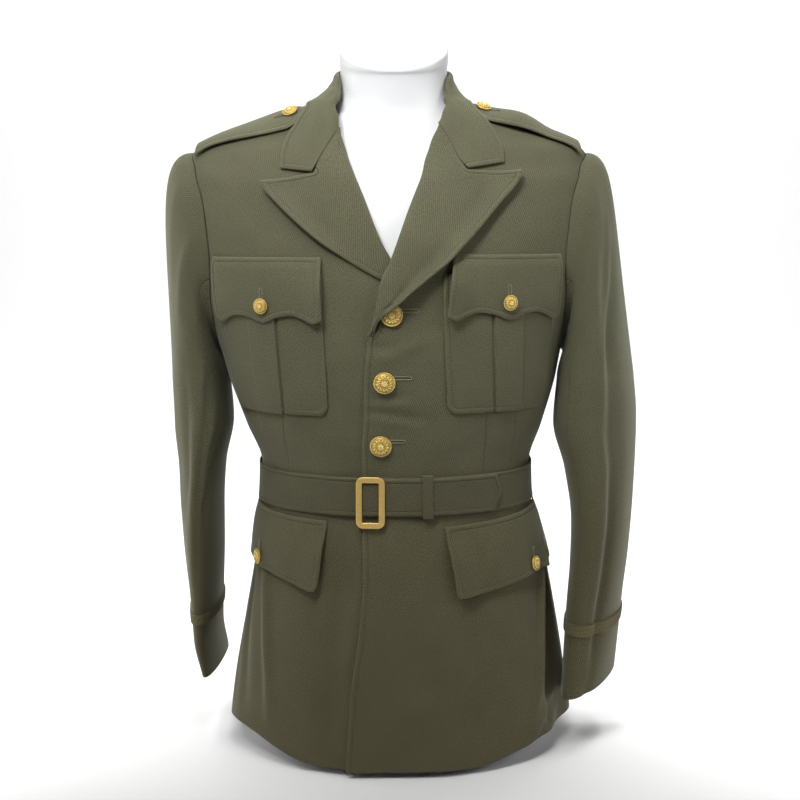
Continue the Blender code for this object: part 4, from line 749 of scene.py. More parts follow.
def shell(name, outer, wall, material, inner=None, ring=False, away=(0.0, 0.0), stitched=None, soft=0.46):
    """A closed thin shell of cloth: a grid of points on its outer face, and a wall inwards.
    Its edges are rounded. away is a place inside the sheet's curve, which its outer face turns from, and
    stitched has the points of the edge that a row of top stitching follows."""
    normals = grid_normals(outer, ring)
    middle = np.array((*away, 0.0))
    facing = (normals[..., :2] * (outer - middle)[..., :2]).sum()
    flip = facing < 0
    if flip:
        normals = -normals
    if inner is None:
        inner = outer - normals * wall
    drawn_in = (inner - outer) * (rounded(edge_gap(outer, ring), wall, soft) / wall)[..., None]
    face, back = outer + drawn_in, inner - drawn_in
    high, wide = outer.shape[:2]
    count = high * wide
    corners = quads(high, wide, ring)
    index = corners[..., 0] * wide + corners[..., 1] % wide
    front_faces = index[:, ::-1] if flip else index
    back_faces = front_faces[:, ::-1] + count
    rim = rim_of(high, wide, ring)
    rim_faces = np.stack([rim[:, 1], rim[:, 0], rim[:, 0] + count, rim[:, 1] + count], axis=-1)
    if flip:
        rim_faces = rim_faces[:, ::-1]
    faces = np.concatenate([front_faces, back_faces, rim_faces])
    made = smooth_piece(name, np.concatenate([face.reshape(-1, 3), back.reshape(-1, 3)]), faces.tolist(), material)
    add_weave_map(made.data, outer, corners, rim_faces, flip)
    gaps, runs = edge_reading(outer.reshape(-1, 3), stitched)
    add_values(made, "edge_gap", gaps)
    add_values(made, "edge_run", runs)
    return made


def add_values(made, label, values):
    """A number for each point of the outer face, and the same for the inner one."""
    made.data.attributes.new(label, "FLOAT", "POINT").data.foreach_set("value", np.tile(values, 2))


def add_weave_map(mesh, outer, corners, rim_faces, flip):
    """A map of the weave in metres: across and down the cloth, as it was cut."""
    high, wide = outer.shape[:2]
    ringed = np.concatenate([outer, outer[:, :1]], axis=1)
    across = lengths_along(ringed, 1)
    across = across - across[:, wide // 2:wide // 2 + 1]
    down = np.repeat(lengths_along(outer[:, wide // 2:wide // 2 + 1], 0), wide + 1, axis=1)
    front = np.stack([across[corners[..., 0], corners[..., 1]], down[corners[..., 0], corners[..., 1]]], axis=-1)
    front = front[:, ::-1] if flip else front
    flat = np.stack([across[:, :wide].ravel(), down[:, :wide].ravel()], axis=-1)
    rim = flat[rim_faces % (high * wide)]
    values = np.concatenate([front, front[:, ::-1], rim]).reshape(-1)
    mesh.uv_layers.new(name="Weave").data.foreach_set("uv", values)


# ---------------------------------------------------------------- shader groups and finishes
def new_group(name, inputs, outputs):
    """A shader group with its input's and its output's sockets. An input with no default is a vector."""
    group = bpy.data.node_groups.new(name, "ShaderNodeTree")
    for label, value in inputs.items():
        kind = "NodeSocketVector" if value is None else "NodeSocketFloat"
        socket = group.interface.new_socket(label, in_out="INPUT", socket_type=kind)
        if value is not None:
            socket.default_value = value
    for label in outputs:
        group.interface.new_socket(label, in_out="OUTPUT", socket_type="NodeSocketFloat")
    return group, add_node(group, "NodeGroupInput").outputs, add_node(group, "NodeGroupOutput").inputs


def add_node(tree, kind, **settings):
    made = tree.nodes.new(kind)
    for label, value in settings.items():
        setattr(made, label, value)
    return made


def sum_of(tree, operation, *values, clamp=False):
    """A Math node on sockets or numbers. It returns its output."""
    made = add_node(tree, "ShaderNodeMath", operation=operation, use_clamp=clamp)
    for i, value in enumerate(values):
        if isinstance(value, (int, float)):
            made.inputs[i].default_value = value
        else:
            tree.links.new(value, made.inputs[i])
    return made.outputs[0]


def slope_of(tree, value, low, high, to_low=0.0, to_high=1.0):
    """A smooth step between two outputs as the value goes from low to high."""
    made = add_node(tree, "ShaderNodeMapRange", interpolation_type="SMOOTHSTEP")
    tree.links.new(value, made.inputs["Value"])
    for label, number in (("From Min", low), ("From Max", high), ("To Min", to_low), ("To Max", to_high)):
        made.inputs[label].default_value = number
    return made.outputs["Result"]


def noise_of(tree, vector, scale, detail=2.0, roughness=0.5):
    made = add_node(tree, "ShaderNodeTexNoise")
    tree.links.new(vector, made.inputs["Vector"])
    made.inputs["Scale"].default_value = scale
    made.inputs["Detail"].default_value = detail
    made.inputs["Roughness"].default_value = roughness
    return made.outputs["Fac"]


def dot_with(tree, vector, direction):
    made = add_node(tree, "ShaderNodeVectorMath", operation="DOT_PRODUCT")
    tree.links.new(vector, made.inputs[0])
    made.inputs[1].default_value = direction
    return made.outputs["Value"]


def weighed(tree, start, *terms, clamp=False):
    """A number or socket, and more sockets added to it, each times its weight."""
    for i, (value, weight) in enumerate(terms):
        start = sum_of(tree, "MULTIPLY_ADD", value, weight, start, clamp=clamp and i == len(terms) - 1)
    return start


def wave(tree, value, turns):
    """The sine of a socket that is times a number of half turns."""
    return sum_of(tree, "SINE", sum_of(tree, "MULTIPLY", value, turns * math.pi))


RIB_DIRECTIONS = ((0.86, 0.51, 0.0), (-0.51, 0.86, 0.0))   # across the twill's ribs, and along them


def twill_group():
    """Diagonal ribs of worsted cloth, broken by the crossing yarns, and their uneven dye."""
    group, given, out = new_group("Twill weave", {"Weave": None, "Pitch": 0.0016, "Relief": 0.00008},
                                  ("Height", "Tone"))
    weave = given["Weave"]
    wander, yarn = noise_of(group, weave, 260.0), noise_of(group, weave, 640.0, 3.0, 0.7)
    patches = noise_of(group, weave, 22.0, 4.0, 0.6)
    rib, cross = [sum_of(group, "DIVIDE", dot_with(group, weave, way), given["Pitch"]) for way in RIB_DIRECTIONS]
    phase = weighed(group, sum_of(group, "MULTIPLY", rib, 2 * math.pi), (wander, 2.2))
    ribs, floats = sum_of(group, "SINE", phase), wave(group, cross, 4.4)
    surface = weighed(group, 0.0, (ribs, 0.62), (floats, 0.28), (yarn, 1.2))
    group.links.new(sum_of(group, "MULTIPLY", surface, given["Relief"]), out["Height"])
    yarn, patches = [sum_of(group, "SUBTRACT", value, 0.5) for value in (yarn, patches)]
    group.links.new(weighed(group, 0.5, (ribs, 0.50), (yarn, 4.6), (patches, 0.9), clamp=True), out["Tone"])
    return group


def stitching_group():
    """A row of top stitching along an edge: the furrow it pulls, its stitches and the full edge outside it. The Furrow
    mask also drives a painted shade, and the Edge mask a painted highlight, in the cloth's colour.
    """
    group, given, out = new_group("Top stitching", {"Gap": 1.0, "Run": 0.0, "Inset": 0.0055, "Stitch": 0.0028},
                                  ("Height", "Furrow", "Thread", "Edge"))
    off = sum_of(group, "ABSOLUTE", sum_of(group, "SUBTRACT", given["Gap"], given["Inset"]))
    furrow, narrow = [slope_of(group, off, *levels, 1.0, 0.0) for levels in ((0.0, 0.0010), (0.0002, 0.0007))]
    beat = wave(group, sum_of(group, "DIVIDE", given["Run"], given["Stitch"]), 2.0)
    thread = sum_of(group, "MULTIPLY", narrow, slope_of(group, beat, -0.5, 0.1))
    full = wave(group, sum_of(group, "DIVIDE", given["Gap"], given["Inset"], clamp=True), 1.0)
    height = weighed(group, 0.0, (furrow, -0.00055), (full, 0.00060), (thread, 0.00030))
    # the Edge mask: the band by the rounded edge, drawn lighter in the cloth as a painted highlight
    edge = slope_of(group, given["Gap"], 0.0, 0.0022, 1.0, 0.0)
    for label, value in (("Height", height), ("Furrow", furrow), ("Thread", thread), ("Edge", edge)):
        group.links.new(value, out[label])
    return group


def wear_group():
    """Fine rubbing and tarnish of metal: a tone and a height."""
    group, given, out = new_group("Rubbed gilt", {"Place": None}, ("Tone", "Height"))
    noise = noise_of(group, given["Place"], 400.0, 5.0, 0.6)
    group.links.new(slope_of(group, noise, 0.3, 0.7), out["Tone"])
    group.links.new(sum_of(group, "MULTIPLY", noise, 0.00003), out["Height"])
    return group


def new_material(name, roughness, metallic=0.0):
    material = bpy.data.materials.new(name)
    material.use_nodes = True
    shader = material.node_tree.nodes["Principled BSDF"]
    shader.inputs["Roughness"].default_value = roughness
    shader.inputs["Metallic"].default_value = metallic
    return material, material.node_tree, shader


def finish_surface(tree, shader, colour, height, strength=1.0):
    """Gives the shader its colour, and a bump from a height in metres."""
    tree.links.new(colour, shader.inputs["Base Color"])
    bump = add_node(tree, "ShaderNodeBump")
    bump.inputs["Distance"].default_value = 1.0
    bump.inputs["Strength"].default_value = strength
    tree.links.new(height, bump.inputs["Height"])
    tree.links.new(bump.outputs["Normal"], shader.inputs["Normal"])


def read(tree, kind, output, **settings):
    """An output of a new input node."""
    return add_node(tree, kind, **settings).outputs[output]


def place_group(tree, group):
    """A node that holds this shader group."""
    made = add_node(tree, "ShaderNodeGroup")
    made.node_tree = group
    return made


def mixed(tree, share, low, high, blend="MIX"):
    """A colour between two, each a socket or a colour."""
    made = add_node(tree, "ShaderNodeMix", data_type="RGBA", blend_type=blend)
    for label, value in (("Factor", share), ("A", low), ("B", high)):
        socket = [s for s in made.inputs if s.name == label and s.enabled][0]
        if isinstance(value, (int, float)):
            socket.default_value = value
        elif isinstance(value, tuple):
            socket.default_value = (*value, 1.0)
        else:
            tree.links.new(value, socket)
    return [s for s in made.outputs if s.enabled][0]


def scaled(colour, by):
    return tuple(part * by for part in colour)


DART_ZERO = 1.0                     # added to a dart's distance, since a piece without darts reads as 0
LOW_CLOTH_PAINTED_SHADE = (0.82, 0.76, 0.70)  # painted shade: the cloth low down is multiplied darker and a little browner, as less light falls there
LOW_CLOTH_LEVELS = (0.20, 0.45)     # fully so below the first height, and not above the second


def cloth_finish(name, colour, pitch, relief=0.000065, inset=0.0055, sheen=0.25):
    """Twilled cloth with its stitched edges and darts. The inset is the stitches' distance from an edge."""
    material, tree, shader = new_material(name, 0.88)
    twill, sewing = place_group(tree, GROUPS["twill"]), place_group(tree, GROUPS["stitching"])
    for group, label, value in ((twill, "Pitch", pitch), (twill, "Relief", relief), (sewing, "Inset", inset)):
        group.inputs[label].default_value = value
    tree.links.new(read(tree, "ShaderNodeUVMap", "UV", uv_map="Weave"), twill.inputs["Weave"])
    for label, attribute in (("Gap", "edge_gap"), ("Run", "edge_run")):
        tree.links.new(read(tree, "ShaderNodeAttribute", "Fac", attribute_name=attribute), sewing.inputs[label])
    dart = read(tree, "ShaderNodeAttribute", "Fac", attribute_name="dart_off")
    dart = sum_of(tree, "ABSOLUTE", sum_of(tree, "SUBTRACT", dart, DART_ZERO))
    dart = slope_of(tree, dart, 0.0002, 0.0014, 1.0, 0.0)
    colours = mixed(tree, twill.outputs["Tone"], scaled(colour, 0.72), scaled(colour, 1.28))
    # painted shade: the stitching's furrow is drawn darker; painted highlight: the band by the rounded edge is drawn
    # lighter. The thread is its own lighter colour.
    for mask, share, tone in ((sewing.outputs["Furrow"], 0.62, 0.40), (sewing.outputs["Thread"], 0.70, 1.70),
                              (sewing.outputs["Edge"], 0.42, 1.55), (dart, 0.50, 0.45)):
        colours = mixed(tree, sum_of(tree, "MULTIPLY", mask, share), colours, scaled(colour, tone))
    # painted shade: low on the tunic the colour is multiplied darker and browner
    place = add_node(tree, "ShaderNodeSeparateXYZ")
    tree.links.new(read(tree, "ShaderNodeTexCoord", "Object"), place.inputs[0])
    low = slope_of(tree, place.outputs["Z"], *LOW_CLOTH_LEVELS, 1.0, 0.0)
    colours = mixed(tree, low, colours, LOW_CLOTH_PAINTED_SHADE, "MULTIPLY")
    height = sum_of(tree, "ADD", twill.outputs["Height"], sewing.outputs["Height"])
    finish_surface(tree, shader, colours, weighed(tree, height, (dart, -0.0004)))
    shader.inputs["Sheen Weight"].default_value = sheen
    shader.inputs["Sheen Roughness"].default_value = 0.45
    shader.inputs["Sheen Tint"].default_value = (0.75, 0.78, 0.62, 1.0)
    shader.inputs["Specular IOR Level"].default_value = 0.25
    return material


GILT_GROUND = (0.66, 0.43, 0.10)    # painted shade: the ground between the raised parts is drawn darker, for the shade in the relief's hollows
BUCKLE_GILT = (0.92, 0.62, 0.20)
GILT_METAL = 0.58                   # below 1, since fine wear scatters part of the light


def gilt_finish(name, colour, roughness, dark):
    material, tree, shader = new_material(name, roughness, GILT_METAL)
    wear = place_group(tree, GROUPS["wear"])
    tree.links.new(read(tree, "ShaderNodeTexCoord", "Object"), wear.inputs["Place"])
    tone = wear.outputs["Tone"]
    tree.links.new(slope_of(tree, tone, 0.0, 1.0, roughness + 0.10, roughness), shader.inputs["Roughness"])
    finish_surface(tree, shader, mixed(tree, tone, scaled(colour, dark), colour), wear.outputs["Height"], 0.5)
    return material


def plastic_finish(name, colour):
    material, tree, shader = new_material(name, 0.38)
    place = read(tree, "ShaderNodeTexCoord", "Object")
    grain, cloud = noise_of(tree, place, 900.0), noise_of(tree, place, 9.0, 3.0)
    colours = mixed(tree, cloud, scaled(colour, 0.985), colour)
    finish_surface(tree, shader, colours, sum_of(tree, "MULTIPLY", grain, 0.00002))
    shader.inputs["Specular IOR Level"].default_value = 0.4
    return material


def thread_finish(name, colour):
    material, tree, shader = new_material(name, 0.7)
    fuzz = noise_of(tree, read(tree, "ShaderNodeTexCoord", "Object"), 1400.0, 3.0)
    colours = mixed(tree, fuzz, scaled(colour, 0.6), scaled(colour, 1.35))
    finish_surface(tree, shader, colours, sum_of(tree, "MULTIPLY", fuzz, 0.00015))
    return material


GROUPS = {}
FINISHES = {}


def make_finishes(settings):
    GROUPS.update(twill=twill_group(), stitching=stitching_group(), wear=wear_group())
    olive, braid, gilt = tuple(settings.olive), tuple(settings.braid), tuple(settings.gilt)
    pitch = settings.twill_pitch
    FINISHES.update(
        cloth=cloth_finish("Olive barathea", olive, pitch),
        # painted shade: the belt's cloth is the same olive drawn a shade darker, for the dimmer light at the waist
        belt=cloth_finish("Olive barathea of the belt in painted shade", scaled(olive, 0.84), pitch, inset=0.0045),
        braid=cloth_finish("Olive braid", braid, 0.0008, 0.00012, 0.02, 0.1),
        gilt=gilt_finish("Gilt brass", gilt, 0.36, 0.94),
        ground=gilt_finish("Gilt brass ground", GILT_GROUND, 0.46, 0.60),
        buckle=gilt_finish("Satin brass of the buckle", BUCKLE_GILT, 0.36, 0.90),
        form=plastic_finish("White moulded plastic", tuple(settings.form)),
        thread=thread_finish("Khaki buttonhole thread", tuple(settings.thread)))


def fit(piece, slot, *nodes):
    """The piece rides on the tunic and stands for these solids. Its slot is not used."""
    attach(piece, "root")
    if nodes:
        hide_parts(*nodes)
    return piece


# ---------------------------------------------------------------- fronts and backs
PANEL_ROWS = (118, 58, 20)          # rows up to the underarm, along the armhole, and on to the neck


def panel_heights():
    """The heights of a panel's rows, closer together at the hem and at the collar."""
    low, middle, high = PANEL_ROWS
    skirt = between(HEM_Z, UNDERARM_Z, places(low, UNDERARM_Z - HEM_Z, last=False))
    armhole = ARMHOLE_MIDDLE - ARMHOLE_HALF * np.cos(np.radians(np.linspace(0, 180, middle)))
    shoulder = between(SHOULDER_Z, NECK_Z, places(high, NECK_Z - SHOULDER_Z, first=False))
    return np.concatenate([skirt, armhole[1:], shoulder[1:]])


PANEL_WIDE = 0.26                   # about how wide a panel is, for its columns
LEFT_STITCHES_TO = 0.475            # the left front's edge is stitched up to its lapel
HIDDEN_SEAM = 0.15                  # how much of the seam's gap shows below the arm


def panel(side, back):
    """A front or back panel, from its middle edge to the seam and from the hem to the shoulder."""
    z = panel_heights()[:, None]
    seam = armhole_turn(z, back)
    if back:
        first = 180.0
    else:
        first = front_edge(z)["left_edge" if side > 0 else "right_edge"] * side
    trim = SEAM / 2 / PANEL_WIDE * between(HIDDEN_SEAM, 1.0, ease(z, UNDERARM_Z - 0.03, UNDERARM_Z))
    across = places(66 if back else 82, PANEL_WIDE)[None, :]
    across = across * (1 - 2 * trim) + trim if back else across * (1 - trim)
    turn = side * between(first, seam, across)
    lift = overlap_out(turn, z) if side > 0 and not back else np.zeros(turn.shape)
    height = hem_height(turn, z)
    outer, inner = on_body(turn, height, lift), on_body(turn, height, lift - WALL)
    name = f"{'back' if back else 'front'}_{side_name(side)}"
    edge = outer[(z[:, 0] < LEFT_STITCHES_TO), 0] if side > 0 and not back else None
    made = shell(name + "_cloth", outer, WALL, FINISHES["cloth"], inner=inner, stitched=edge, soft=0.20)
    off = dart_distance(turn, np.broadcast_to(height, turn.shape)).ravel()
    add_values(made, "dart_off", off + DART_ZERO)
    return fit(made, "cloth", name)


# ---------------------------------------------------------------- sleeves and braid
def sleeve_middle(side, z):
    """The middle of a sleeve's section at this height."""
    return sleeve_point(side, np.array([0.0, 180.0]), np.array([z, z])).mean(0)


SLEEVE_PIECES = {True: (76, 0.17), False: (56, 0.11)}   # columns and about how wide: top and under sleeve
SLEEVE_ROWS = (50, 92)              # rows of the head, and from there to the cuff


def sleeve_half(side, top):
    """The top or under piece of a sleeve, from the armhole to the cuff."""
    name, cuff_z = ("left", LEFT_CUFF_Z) if side > 0 else ("right", RIGHT_CUFF_Z)
    first, last = (-TOP_SLEEVE_HALF, TOP_SLEEVE_HALF) if top else (TOP_SLEEVE_HALF, 360 - TOP_SLEEVE_HALF)
    columns, wide = SLEEVE_PIECES[top]
    share = places(columns, wide)
    trim = SEAM / 2 / wide
    share = np.concatenate([[trim - 0.01], share * (1 - 2 * trim) + trim, [1.01 - trim]])
    around = between(first, last, share)[None, :]
    t = np.linspace(0.0, 1.0, SLEEVE_ROWS[0])[:, None] ** 1.15
    head = sleeve_head(side, around, t)
    levels = between(SLEEVE_TOP_Z, cuff_z, places(SLEEVE_ROWS[1], SLEEVE_TOP_Z - cuff_z, first=False))[1:, None]
    low = sleeve_point(side, around, cuff_height(side, around, levels, cuff_z))
    base = np.concatenate([head, low])
    normals = grid_normals(base)
    hub = sleeve_middle(side, 0.25)
    if (normals[..., :2] * (base - hub)[..., :2]).sum() < 0:
        normals = -normals
    fade = np.concatenate([ease(t, 0.0, 0.35), np.ones((len(levels), 1))])
    outer = base + normals * (sleeve_folds(side, around, base[..., 2]) * fade)[..., None]
    inner = outer - normals * WALL
    kind = "top" if top else "under"
    made = shell(f"sleeve_{kind}_{name}_cloth", outer[:, 1:-1], WALL, FINISHES["cloth"], inner=inner[:, 1:-1],
                 away=(hub[0], hub[1]), soft=0.20)
    return fit(made, "cloth", f"sleeve_{kind}_{name}")


BRAID_RIBS, BRAID_PICKS = 5, 90     # lengthwise ribs, and crosswise yarns round the cuff


def cuff_braid(side):
    """A flat band of ribbed braid round a cuff."""
    name = side_name(side)
    around = np.linspace(-180, 180, 129)[None, :-1]
    share = places(36, abs(BRAID_LEVELS[0] - BRAID_LEVELS[1]))[:, None]
    z = between(*BRAID_LEVELS, share)
    ribs = 0.00032 * np.cos(2 * np.pi * BRAID_RIBS * share) * np.ones(around.shape)
    ribs = ribs + 0.00008 * np.sin(np.radians(around) * BRAID_PICKS)
    outer = on_sleeve(side, around, z, SEAM + BRAID_WALL + ribs)
    inner = on_sleeve(side, around, z, SEAM + np.zeros(ribs.shape))
    hub = sleeve_middle(side, 0.13)
    made = shell(f"cuff_braid_{name}_woven", outer, BRAID_WALL, FINISHES["braid"], inner=inner, ring=True,
                 away=(hub[0], hub[1]))
    return fit(made, "braid", f"cuff_braid_{name}")


# ---------------------------------------------------------------- collar and lapels
def through(values, at):
    """Smooth curves through values at 0, 1, 2..., one curve a row, read at these places."""
    slopes = np.gradient(values, axis=1)
    i = np.clip(at.astype(int), 0, values.shape[1] - 2)
    t = (at - i).reshape((1, -1) + (1,) * (values.ndim - 2))
    a, b, m, n = values[:, i], values[:, i + 1], slopes[:, i], slopes[:, i + 1]
    return (a * (1 + 2 * t) * (1 - t) ** 2 + m * t * (1 - t) ** 2
            + b * t * t * (3 - 2 * t) - n * t * t * (1 - t))


def turned_cloth(lips, start, middle, end, outs, side, stack, bow, wide=(28, 36)):
    """Cloth turned back at a fold, a row a section: the lips behind it, the roll and the face."""
    rolled = list(lips)
    for along, out in zip((0.0, 0.16, 0.5, 0.58), (*outs[:3], between(outs[2], outs[3], 0.16))):
        turn = between(start[0], middle[0], along) - bow * 4 * along * (1 - along)
        z = between(start[1], middle[1], along)
        rolled.append(on_body(side * turn, z, out + stack(side * turn, z)))
    steps = len(rolled) - 2
    roll = through(np.stack(rolled, axis=1), np.linspace(0, steps, 7 * steps + 1))[:, :-1]
    start, middle, end = [[value[:, None] for value in place] for place in (start, middle, end)]
    inner = 0.5 + 0.5 * np.linspace(0.0, 1.0, wide[0])[:-1]
    outer = places(wide[1], 0.07, first=False)
    bowed = bow[:, None] * 4 * inner * (1 - inner)
    turn = np.concatenate([between(start[0], middle[0], inner) - bowed, between(middle[0], end[0], outer)], axis=1)
    z = np.concatenate([between(start[1], middle[1], inner), between(middle[1], end[1], outer)], axis=1)
    lift = through(np.stack(outs[2:], axis=1), np.concatenate([(inner - 0.5) * 2, 1 + outer * 2]))
    face = on_body(side * turn, z, lift + stack(side * turn, z))
    return np.concatenate([roll, face], axis=1), roll.shape[1] + len(inner)


def no_stack(turn, z):
    """Nothing lies between this piece and the body surface."""
    return np.zeros(np.broadcast(turn, z).shape)


GORGE_BOW = {1: 2.0, -1: 1.2}       # how many degrees each gorge seam bows, so that it looks straight


def by_station(table, columns):
    """A table read by the row's number, 0, 1, 2..."""
    return smooth_table([(i, *values) for i, values in enumerate(table)], ("station", *columns))


def collar_half(side, table):
    """One side of the collar from the centre back to its front end."""
    last = len(table) - 1
    station = last * places(78, 0.26, first=False)
    row = by_station(table, COLLAR_COLUMNS)(station)
    fold = (row["fold_turn"], row["fold_z"])
    crown, lift = row["crown"], row["lift"]
    # off the body surface: the fold's inside, its crown in three steps, the fall's middle and its edge
    outs = (0.0015 + crown * 0, 0.0045 + crown * 0, 0.0036 + crown * 0.45, 0.0035 + crown * 0.8,
            0.0034 + crown * 0.4 + lift * 0.6, 0.0034 + lift)
    lips = [on_body(side * row["stand_turn"], row["stand_z"], -0.0006),
            on_body(side * between(row["stand_turn"], fold[0], 0.75), between(row["stand_z"], fold[1], 0.75), -0.0008)]
    return turned_cloth(lips, fold, (row["mid_turn"], row["mid_z"]), (row["edge_turn"], row["edge_z"]),
                        outs, side, no_stack, GORGE_BOW[side] * ease(station, last - 1.0, last))


def collar():
    right, corner = collar_half(-1, RIGHT_COLLAR)
    left, _ = collar_half(1, LEFT_COLLAR)
    grid = np.concatenate([right[::-1], left[1:]])
    edge = np.concatenate([grid[0, corner:], grid[:, -1], grid[-1, corner:][::-1]])
    made = shell("collar_cloth", grid, WALL, FINISHES["cloth"], stitched=edge, away=(0.0, 0.004))
    return fit(made, "cloth", "collar")


LAPEL_EDGE = 0.0070                 # how far the lapels' outer edges stand off more
GORGE_TUCK = 0.0050                 # how far a lapel runs on under the collar


def lapel(side):
    """A lapel from its lower end to the notch, where it runs on under the collar."""
    table = LEFT_LAPEL if side > 0 else RIGHT_LAPEL
    last = len(table) - 1
    station = last * places(122, 0.24)
    row = by_station(table, LAPEL_COLUMNS)(station)
    rise, roll = row["rise"], row["roll"]
    # off the body surface: behind the roll, the roll in three steps, the lapel's middle and its edge
    outs = (0.0012 + rise * 0.4, 0.0029 + roll + rise * 0.5, 0.0029 + roll * 1.2 + rise * 0.8,
            0.0029 + roll * 0.6 + rise, 0.0033 + rise, 0.0029 + rise + LAPEL_EDGE * ease(station, 0.4, 2.5))
    stack = overlap_out if side > 0 else no_stack
    begun = ease(station, 0.0, 1.0)
    lip_turn = row["roll_turn"] + between(-0.2, LIP_TURN, begun)
    lip_out = between(0.0026, -0.0028, begun)
    lips = [on_body(side * lip_turn, row["roll_z"], lip_out + stack(side * lip_turn, row["roll_z"]))]
    grid, corner = turned_cloth(lips, (row["roll_turn"], row["roll_z"]), (row["mid_turn"], row["mid_z"]),
                                (row["edge_turn"], row["edge_z"]), outs, side, stack,
                                GORGE_BOW[side] * ease(station, last - 1.0, last))
    edge = np.concatenate([grid[:, -1], grid[-1, corner:][::-1]])
    under = 1 - ease(np.arange(grid.shape[1]), corner * 0.80, corner * 0.97)
    near_top = ease(station, last - 0.35, last)[:, None] * under
    up = unit(grid[-1] - grid[-12])
    grid = grid + (up * GORGE_TUCK + np.array((0.0, 0.0009, 0.0))) * near_top[..., None]
    name = f"lapel_{side_name(side)}"
    made = shell(name + "_cloth", grid, LAPEL_WALL, FINISHES["cloth"], stitched=edge)
    return fit(made, "cloth", name)


# ---------------------------------------------------------------- pockets and flaps
def pleat_rise(away):
    """The box pleat's height by girth from its middle: open on the inner side, pressed shut on the outer."""
    inner, outer = -away, away
    open_top = ease(inner, PLEAT_HALF - 0.0008, PLEAT_HALF + 0.0003)
    open_slot = ease(inner, PLEAT_HALF - 0.0003, PLEAT_HALF + 0.0003) * (
        1 - ease(inner, PLEAT_HALF + 0.0013, PLEAT_HALF + 0.0024))
    shut_top = ease(outer, PLEAT_HALF - 0.0010, PLEAT_HALF + 0.0010)
    shut_slot = ease(outer, PLEAT_HALF - 0.0006, PLEAT_HALF) * (1 - ease(outer, PLEAT_HALF, PLEAT_HALF + 0.0006))
    return PLEAT_RISE * (1 - open_top - shut_top * 0.9) - 0.0014 * open_slot - 0.0003 * shut_slot - 0.9 * (
        PLEAT_RISE * 0.1) * shut_top


def trim_cloth(name, face, lift, border, finish="cloth", ring=False):
    """A piece of trim whose inner face is a wall further in. face gives a face's points at a lift."""
    outer = face(lift)
    made = shell(name + "_cloth", outer, TRIM_WALL, FINISHES[finish], face(lift - TRIM_WALL), ring,
                 stitched=np.concatenate(border(outer)))
    return fit(made, "cloth", name)


def three_sides(grid):
    return grid[:, 0], grid[-1], grid[::-1, -1]


def whole_border(grid):
    return grid[0], grid[1:, -1], grid[-1, ::-1], grid[::-1, 0]


def breast_pocket(row):
    """A patch pocket with rounded lower corners and a box pleat."""
    low, corner = row["bottom_z"], POCKET_CORNER
    bend = np.radians(np.linspace(0, 90, 18))
    straight = np.linspace(POCKET_TOP_Z, low + corner, 50)[:-1]
    z = np.concatenate([straight, low + corner * (1 - np.sin(bend))])
    cut = np.concatenate([np.zeros(len(straight)), corner * (1 - np.cos(bend))])
    first, last = row["inner"] + cut[:, None], row["outer"] - cut[:, None]
    step = np.array((-2.2, -1.6, -1.0, -0.6, -0.3, 0.0, 0.3, 0.6, 1.0, 1.5)) / 1000
    left, right = row["pleat"] - PLEAT_HALF, row["pleat"] + PLEAT_HALF
    middle = np.concatenate([left - step[::-1], np.linspace(left + 0.0032, right - 0.0032, 16), right + step])
    near = between(first, middle[0], places(26, 0.05, last=False)[None, :-1])
    far = between(middle[-1], last, places(26, 0.05, first=False)[None, 1:])
    girth = np.concatenate([near, np.tile(middle, (len(z), 1)), far], axis=1)
    out = POCKET_OUT + pleat_rise(girth - row["pleat"])
    z = np.broadcast_to(z[:, None], girth.shape)
    name = f"breast_pocket_{side_name(row['side'])}"
    return trim_cloth(name, lambda lift: on_front(row["side"], girth, z, lift), out, three_sides)


FLAP_CURL = 0.0052                  # how far a flap's front edge stands off more


def flap_lift(levels, outs, share, across):
    """How far a flap stands off, row by row, and more along its front edge."""
    out = smooth_table(list(zip(levels, outs)), ("share", "out"))(share)["out"]
    return out + FLAP_CURL * (1 - ease(across, 0.0, 0.20)) * ease(share, 0.05, 0.5)


def breast_flap(row):
    """A flap whose lower edge has three points."""
    share, across = places(30, 0.066)[:, None], places(90, 0.13)[None, :]
    low = row["point_z"] + flap_edge(across)["height"]
    girth = between(between(row["inner_top"], row["inner"], share), row["outer"], across)
    z = between(row["top_z"], low, share)
    return trim_cloth(f"breast_flap_{side_name(row['side'])}", lambda lift: on_front(row["side"], girth, z, lift),
                      flap_lift(FLAP_ROWS, FLAP_OUT, share, across), whole_border)


def hip_flap(row):
    """A slanting flap with rounded lower corners."""
    share, across = places(34, 0.075)[:, None], places(90, 0.165)[None, :]
    front = between(row["front_top"], row["front_low"], share)
    back = between(row["back_top"], row["back_low"], share)
    bend = np.clip((share - 0.90) / 0.10, 0.0, 1.0)
    corner = 0.006 * (1 - np.sqrt(1 - bend * bend))
    girth = between(front + corner, back - corner, across)
    high = between(row["front_z"], row["back_z"], across)
    low = between(row["front_low_z"], row["back_low_z"], ease(across, -0.3, 0.8))
    z = between(high, low, share)
    return trim_cloth(f"hip_flap_{side_name(row['side'])}", lambda lift: on_front(row["side"], girth, z, lift),
                      flap_lift(HIP_ROWS, HIP_OUT, share, across), whole_border)


# ---------------------------------------------------------------- shoulder straps and belt
STRAP_SHAPE = ((0.0, 1.0), (0.15, 1.0), (0.32, 1.0), (0.5, 1.0), (0.68, 1.0), (0.84, 1.0), (0.94, 0.78), (1.0, 0.30))


def strap_middle(row, share):
    """The y of a strap's middle line, from the armhole, share = 0, to the tip, share = 1."""
    return between(row["armhole_y"], row["tip_y"], share) - row["bend"] * 4 * share * (1 - share)


def strap_bow(row, share):
    """How far a strap stands off more between its ends."""
    away = np.clip(np.abs(share - row["bow_share"]) / 0.34, 0.0, 1.0)
    return row["bow"] * np.cos(away * np.pi / 2) ** 2


